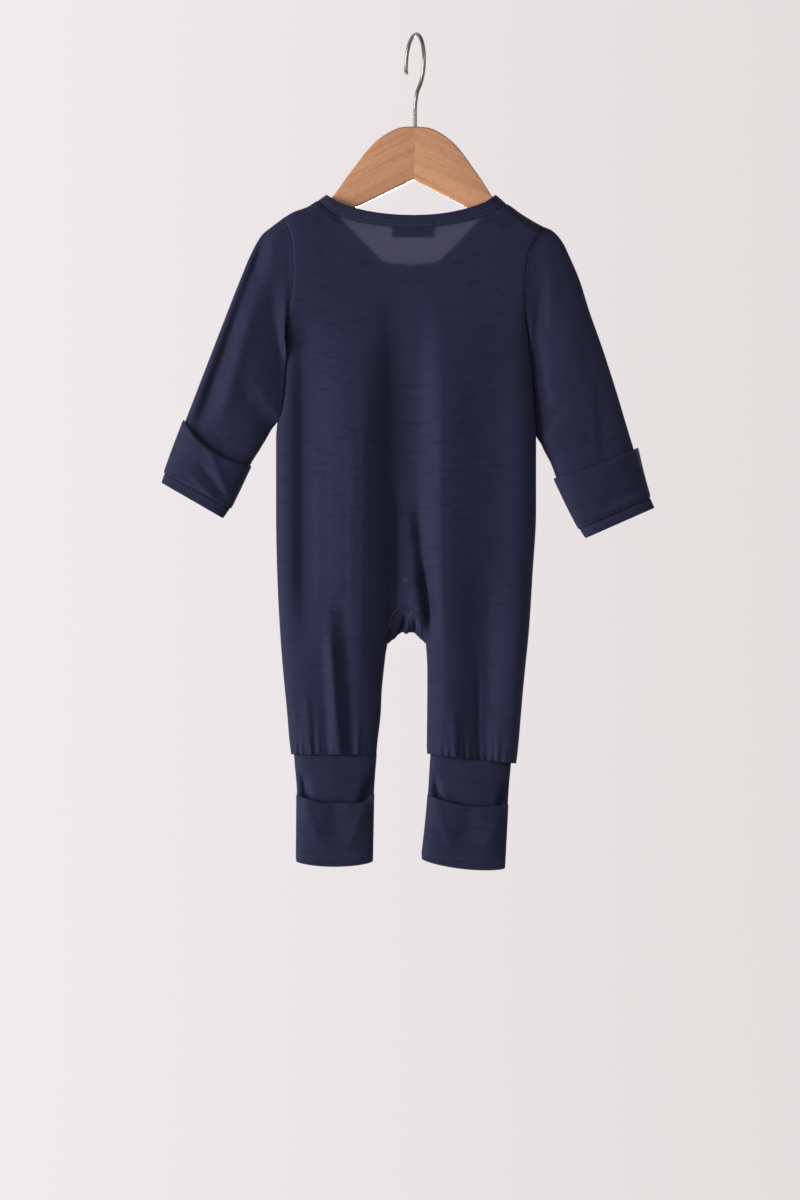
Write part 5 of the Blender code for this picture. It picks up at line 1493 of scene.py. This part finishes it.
# ---------------------------------------------------------------- front zip
# A closed-end plastic zip joins the fronts: two woven tapes behind their edges, moulded teeth that
# mesh along the middle, and a small dyed metal slider whose pull tab swings on a bridge.
ZIP_TOP_Z = -199.5
TAPE_INNER, TAPE_W, TAPE_T, TAPE_SINK = 0.4, 12.0, 0.8, 0.5
BAND_SINK = 1.5  # how much deeper the zip lies behind the neckband
CHAIN_T, TOOTH_PITCH, TOOTH_H, TOOTH_REACH = 1.9, 2.0, 1.1, 1.7
SLIDER_Z, SLIDER_W, SLIDER_H = -222.0, 6.2, 9.0
PLATE_T, FLANGE_T, FLANGE_H = 1.0, 0.6, 1.2
BRIDGE_W, BRIDGE_RISE, BRIDGE_REACH = 1.4, 2.6, 6.4
PULL_W, PULL_L, PULL_BAR, PULL_GAP = 4.6, 17.0, 1.0, 0.4
PULL_WINDOW_W, PULL_WINDOW_H = 2.4, 4.4
PULL_AXIS_Y = 16.056  # the line on which the pull tab swings
CLOTH_T = 1.0  # the front's wall
ZIP_NAVY, METAL_NAVY = (0.020, 0.021, 0.046), (0.030, 0.031, 0.062)


def front_middle_y(z):
    """How far forward the front's middle line stands."""
    x = smooth_steps(MIDDLE, z)
    depth = smooth_steps(BODY_DEPTH, z) + panel_folds(FRONT, x, z)
    return depth - BAND_SINK * (z > TAPE_TOP_FREE)


def dyed(name, colour, roughness, metallic=0.0, grain=900.0):
    """A dyed finish whose tone and gloss vary a little from spot to spot."""
    made, tree, shader = node_material(name)
    place = add_node(tree, "ShaderNodeTexCoord")
    spots = add_node(tree, "ShaderNodeTexNoise", Vector=place.outputs["Object"], Scale=grain, Detail=3.0)
    tone = add_node(tree, "ShaderNodeValToRGB", Fac=spots.outputs["Fac"])
    tone.color_ramp.elements[0].color = (*(0.8 * v for v in colour), 1)
    tone.color_ramp.elements[1].color = (*(1.25 * v for v in colour), 1)
    tree.links.new(tone.outputs["Color"], shader.inputs["Base Color"])
    relief = add_node(tree, "ShaderNodeBump", Strength=0.25, Distance=0.00004, Height=spots.outputs["Fac"])
    tree.links.new(relief.outputs["Normal"], shader.inputs["Normal"])
    shader.inputs["Roughness"].default_value = roughness
    shader.inputs["Metallic"].default_value = metallic
    return made


def make_tape(side):
    """A strip that follows the front's middle line and lies just behind the front's edge."""
    z = np.linspace(ZIP_TOP_Z, ZIP_BOTTOM_Z, 110)[:, None]
    offset = np.linspace(TAPE_INNER, TAPE_W, 9)[None, :]
    x = smooth_steps(MIDDLE, z[:, 0])[:, None] + side * offset
    sink = TAPE_SINK * ease((offset - ZIP_HALF) / 6)
    y = front_middle_y(z[:, 0])[:, None] - CLOTH_T - 0.3 - sink
    grid = np.stack([x, y, z + 0 * x], axis=-1)
    word = SIDE_WORD[side]
    tape = cloth(f"tape_{word}", [grid], ZIP_WEAVE, outward_y(FRONT), wall=TAPE_T)
    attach(tape, "garment")
    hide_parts(f"zip_tape_{word}")
    return tape


def make_teeth():
    """Alternate rounded teeth from the left and right, each a bevelled block that crosses the middle."""
    count = int((ZIP_TOP_Z - ZIP_BOTTOM_Z) / TOOTH_PITCH * 2)
    z = np.linspace(ZIP_TOP_Z - 0.6, ZIP_BOTTOM_Z + 0.6, count)
    x, y = smooth_steps(MIDDLE, z), front_middle_y(z) - CLOTH_T
    profile = [(-0.5, 0.30), (-0.25, 0.5), (0.25, 0.5), (0.5, 0.30)]  # shares of the tooth's thickness
    points, faces = [], []
    for k in range(count):
        hand = LEFT if k % 2 else RIGHT
        first = len(points)
        for reach in (TOOTH_REACH, 0.6, -0.55):
            slim = 0.72 if reach < 0 else 1.0
            for up, half in profile:
                for end in (-1, 1):
                    points.append(
                        (
                            x[k] + hand * reach,
                            y[k] + CHAIN_T * (0.5 + up * slim),
                            z[k] + end * TOOTH_H * half * slim,
                        )
                    )
        ring = [0, 2, 4, 6, 7, 5, 3, 1]
        for row in (0, 8):
            for a, b in zip(ring, ring[1:] + ring[:1]):
                faces.append([first + row + a, first + row + b, first + row + 8 + b, first + row + 8 + a])
        faces += [[first + a for a in ring], [first + 16 + a for a in reversed(ring)]]
    teeth = link_mesh("teeth", np.array(points) * MM, faces, dyed("dyed acetal", ZIP_NAVY, 0.42))
    turn_out(teeth)
    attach(teeth, "garment")
    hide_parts("zip_chain")
    return teeth


def plate(outline, low_y, high_y, hole=None):
    """Corners and faces of a flat plate: its outline in x and z, and a hole with as many corners."""
    count = len(outline)
    loops = [outline] if hole is None else [outline, hole]
    points = [(x, y, z) for loop in loops for y in (low_y, high_y) for x, z in loop]
    faces = []
    for k in range(count):
        n = (k + 1) % count
        faces.append([k, n, n + count, k + count])
        if hole is not None:
            inner = 2 * count
            faces.append([inner + n, inner + k, inner + k + count, inner + n + count])
            faces.append([k, n, inner + n, inner + k])
            faces.append([k + count, n + count, inner + n + count, inner + k + count])
    if hole is None:
        faces += [list(range(count))[::-1], list(range(count, 2 * count))]
    return points, faces


def rounded_outline(x, z, half_w, half_h, power, count=40, waist=0.0):
    """A superellipse about (x, z), drawn in at its middle by waist."""
    turn = np.linspace(0, 2 * math.pi, count, endpoint=False)
    cos, sin = np.cos(turn), np.sin(turn)
    across = np.sign(cos) * abs(cos) ** (2 / power)
    up = np.sign(sin) * abs(sin) ** (2 / power)
    across = across * (1 - waist * np.exp(-((up / 0.45) ** 2)))
    return list(zip(x + half_w * across, z + half_h * up))


def joined(name, bodies, material, bevel):
    """Several closed bodies as one piece with softened edges."""
    points, faces = [], []
    for body_points, body_faces in bodies:
        faces += [[i + len(points) for i in face] for face in body_faces]
        points += body_points
    piece = link_mesh(name, np.array(points) * MM, faces, material)
    turn_out(piece)
    soft = piece.modifiers.new("soft edges", "BEVEL")
    soft.width = bevel * MM
    soft.segments = 2
    soft.angle_limit = math.radians(40)
    return piece


def make_slider():
    """A waisted plate with a flange down each side of the chain, and an arched bridge over the tab."""
    x = float(smooth_steps(MIDDLE, np.array([SLIDER_Z]))[0])
    y = PULL_AXIS_Y - PULL_BAR / 2 - PULL_GAP - PLATE_T
    bodies = [plate(rounded_outline(x, SLIDER_Z, SLIDER_W / 2, SLIDER_H / 2, 3.4, waist=0.1), y, y + PLATE_T)]
    for side in (LEFT, RIGHT):
        middle = x + side * (SLIDER_W / 2 - FLANGE_T / 2)
        outline = rounded_outline(middle, SLIDER_Z, FLANGE_T / 2, SLIDER_H / 2 - 1, 6.0)
        bodies.append(plate(outline, y - FLANGE_H, y + PLATE_T * 0.5))
    arch = np.linspace(0, math.pi, 15)
    top, thick = y + PLATE_T, 0.8
    outer = np.stack(
        [top - 0.2 + BRIDGE_RISE * np.sin(arch) ** 0.5, SLIDER_Z + BRIDGE_REACH / 2 * np.cos(arch)], -1
    )
    inner_rise, inner_reach = BRIDGE_RISE - thick, BRIDGE_REACH / 2 - thick
    inner = np.stack(
        [top - 0.2 + inner_rise * np.sin(arch) ** 0.5, SLIDER_Z + inner_reach * np.cos(arch)], -1
    )
    points, faces = [], []
    for (oy, oz), (iy, iz) in zip(outer, inner):
        for across in (-BRIDGE_W / 2, BRIDGE_W / 2):
            points += [(x + across, oy, oz), (x + across, iy, iz)]
    for k in range(len(outer) - 1):
        a, b = 4 * k, 4 * k + 4
        faces += [
            [a, a + 2, b + 2, b],
            [a + 1, b + 1, b + 3, a + 3],
            [a, b, b + 1, a + 1],
            [a + 2, a + 3, b + 3, b + 2],
        ]
    last = 4 * (len(outer) - 1)
    faces += [[0, 1, 3, 2], [last, last + 2, last + 3, last + 1]]
    bodies.append((points, faces))
    slider = joined("slider", bodies, ZIP_METAL, 0.18)
    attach(slider, "garment")
    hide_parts("zip_slider")
    low = SLIDER_Z + PULL_BAR / 2 - PULL_L
    outline = rounded_outline(x, (low + SLIDER_Z + PULL_BAR / 2) / 2, PULL_W / 2, PULL_L / 2, 5.0)
    eye_z = SLIDER_Z - PULL_BAR / 2 - PULL_WINDOW_H / 2
    eye = rounded_outline(x, eye_z, PULL_WINDOW_W / 2, PULL_WINDOW_H / 2, 5.0)
    body = plate(outline, PULL_AXIS_Y - PULL_BAR / 2, PULL_AXIS_Y + PULL_BAR / 2, eye)
    pull = joined("pull", [body], ZIP_METAL, 0.2)
    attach(pull, "pull_tab")
    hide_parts("zip_pull")
    return slider, pull


TAPE_TOP_FREE = float(upper_rows(LEFT, FRONT, np.array([0.0]), np.array([1.0]))[0, 0, 2])
ZIP_WEAVE = dyed("woven tape", ZIP_NAVY, 0.75, grain=1800.0)
ZIP_METAL = dyed("dyed metal", METAL_NAVY, 0.48, metallic=0.7)
tapes = {side: make_tape(side) for side in (LEFT, RIGHT)}
make_teeth()
make_slider()
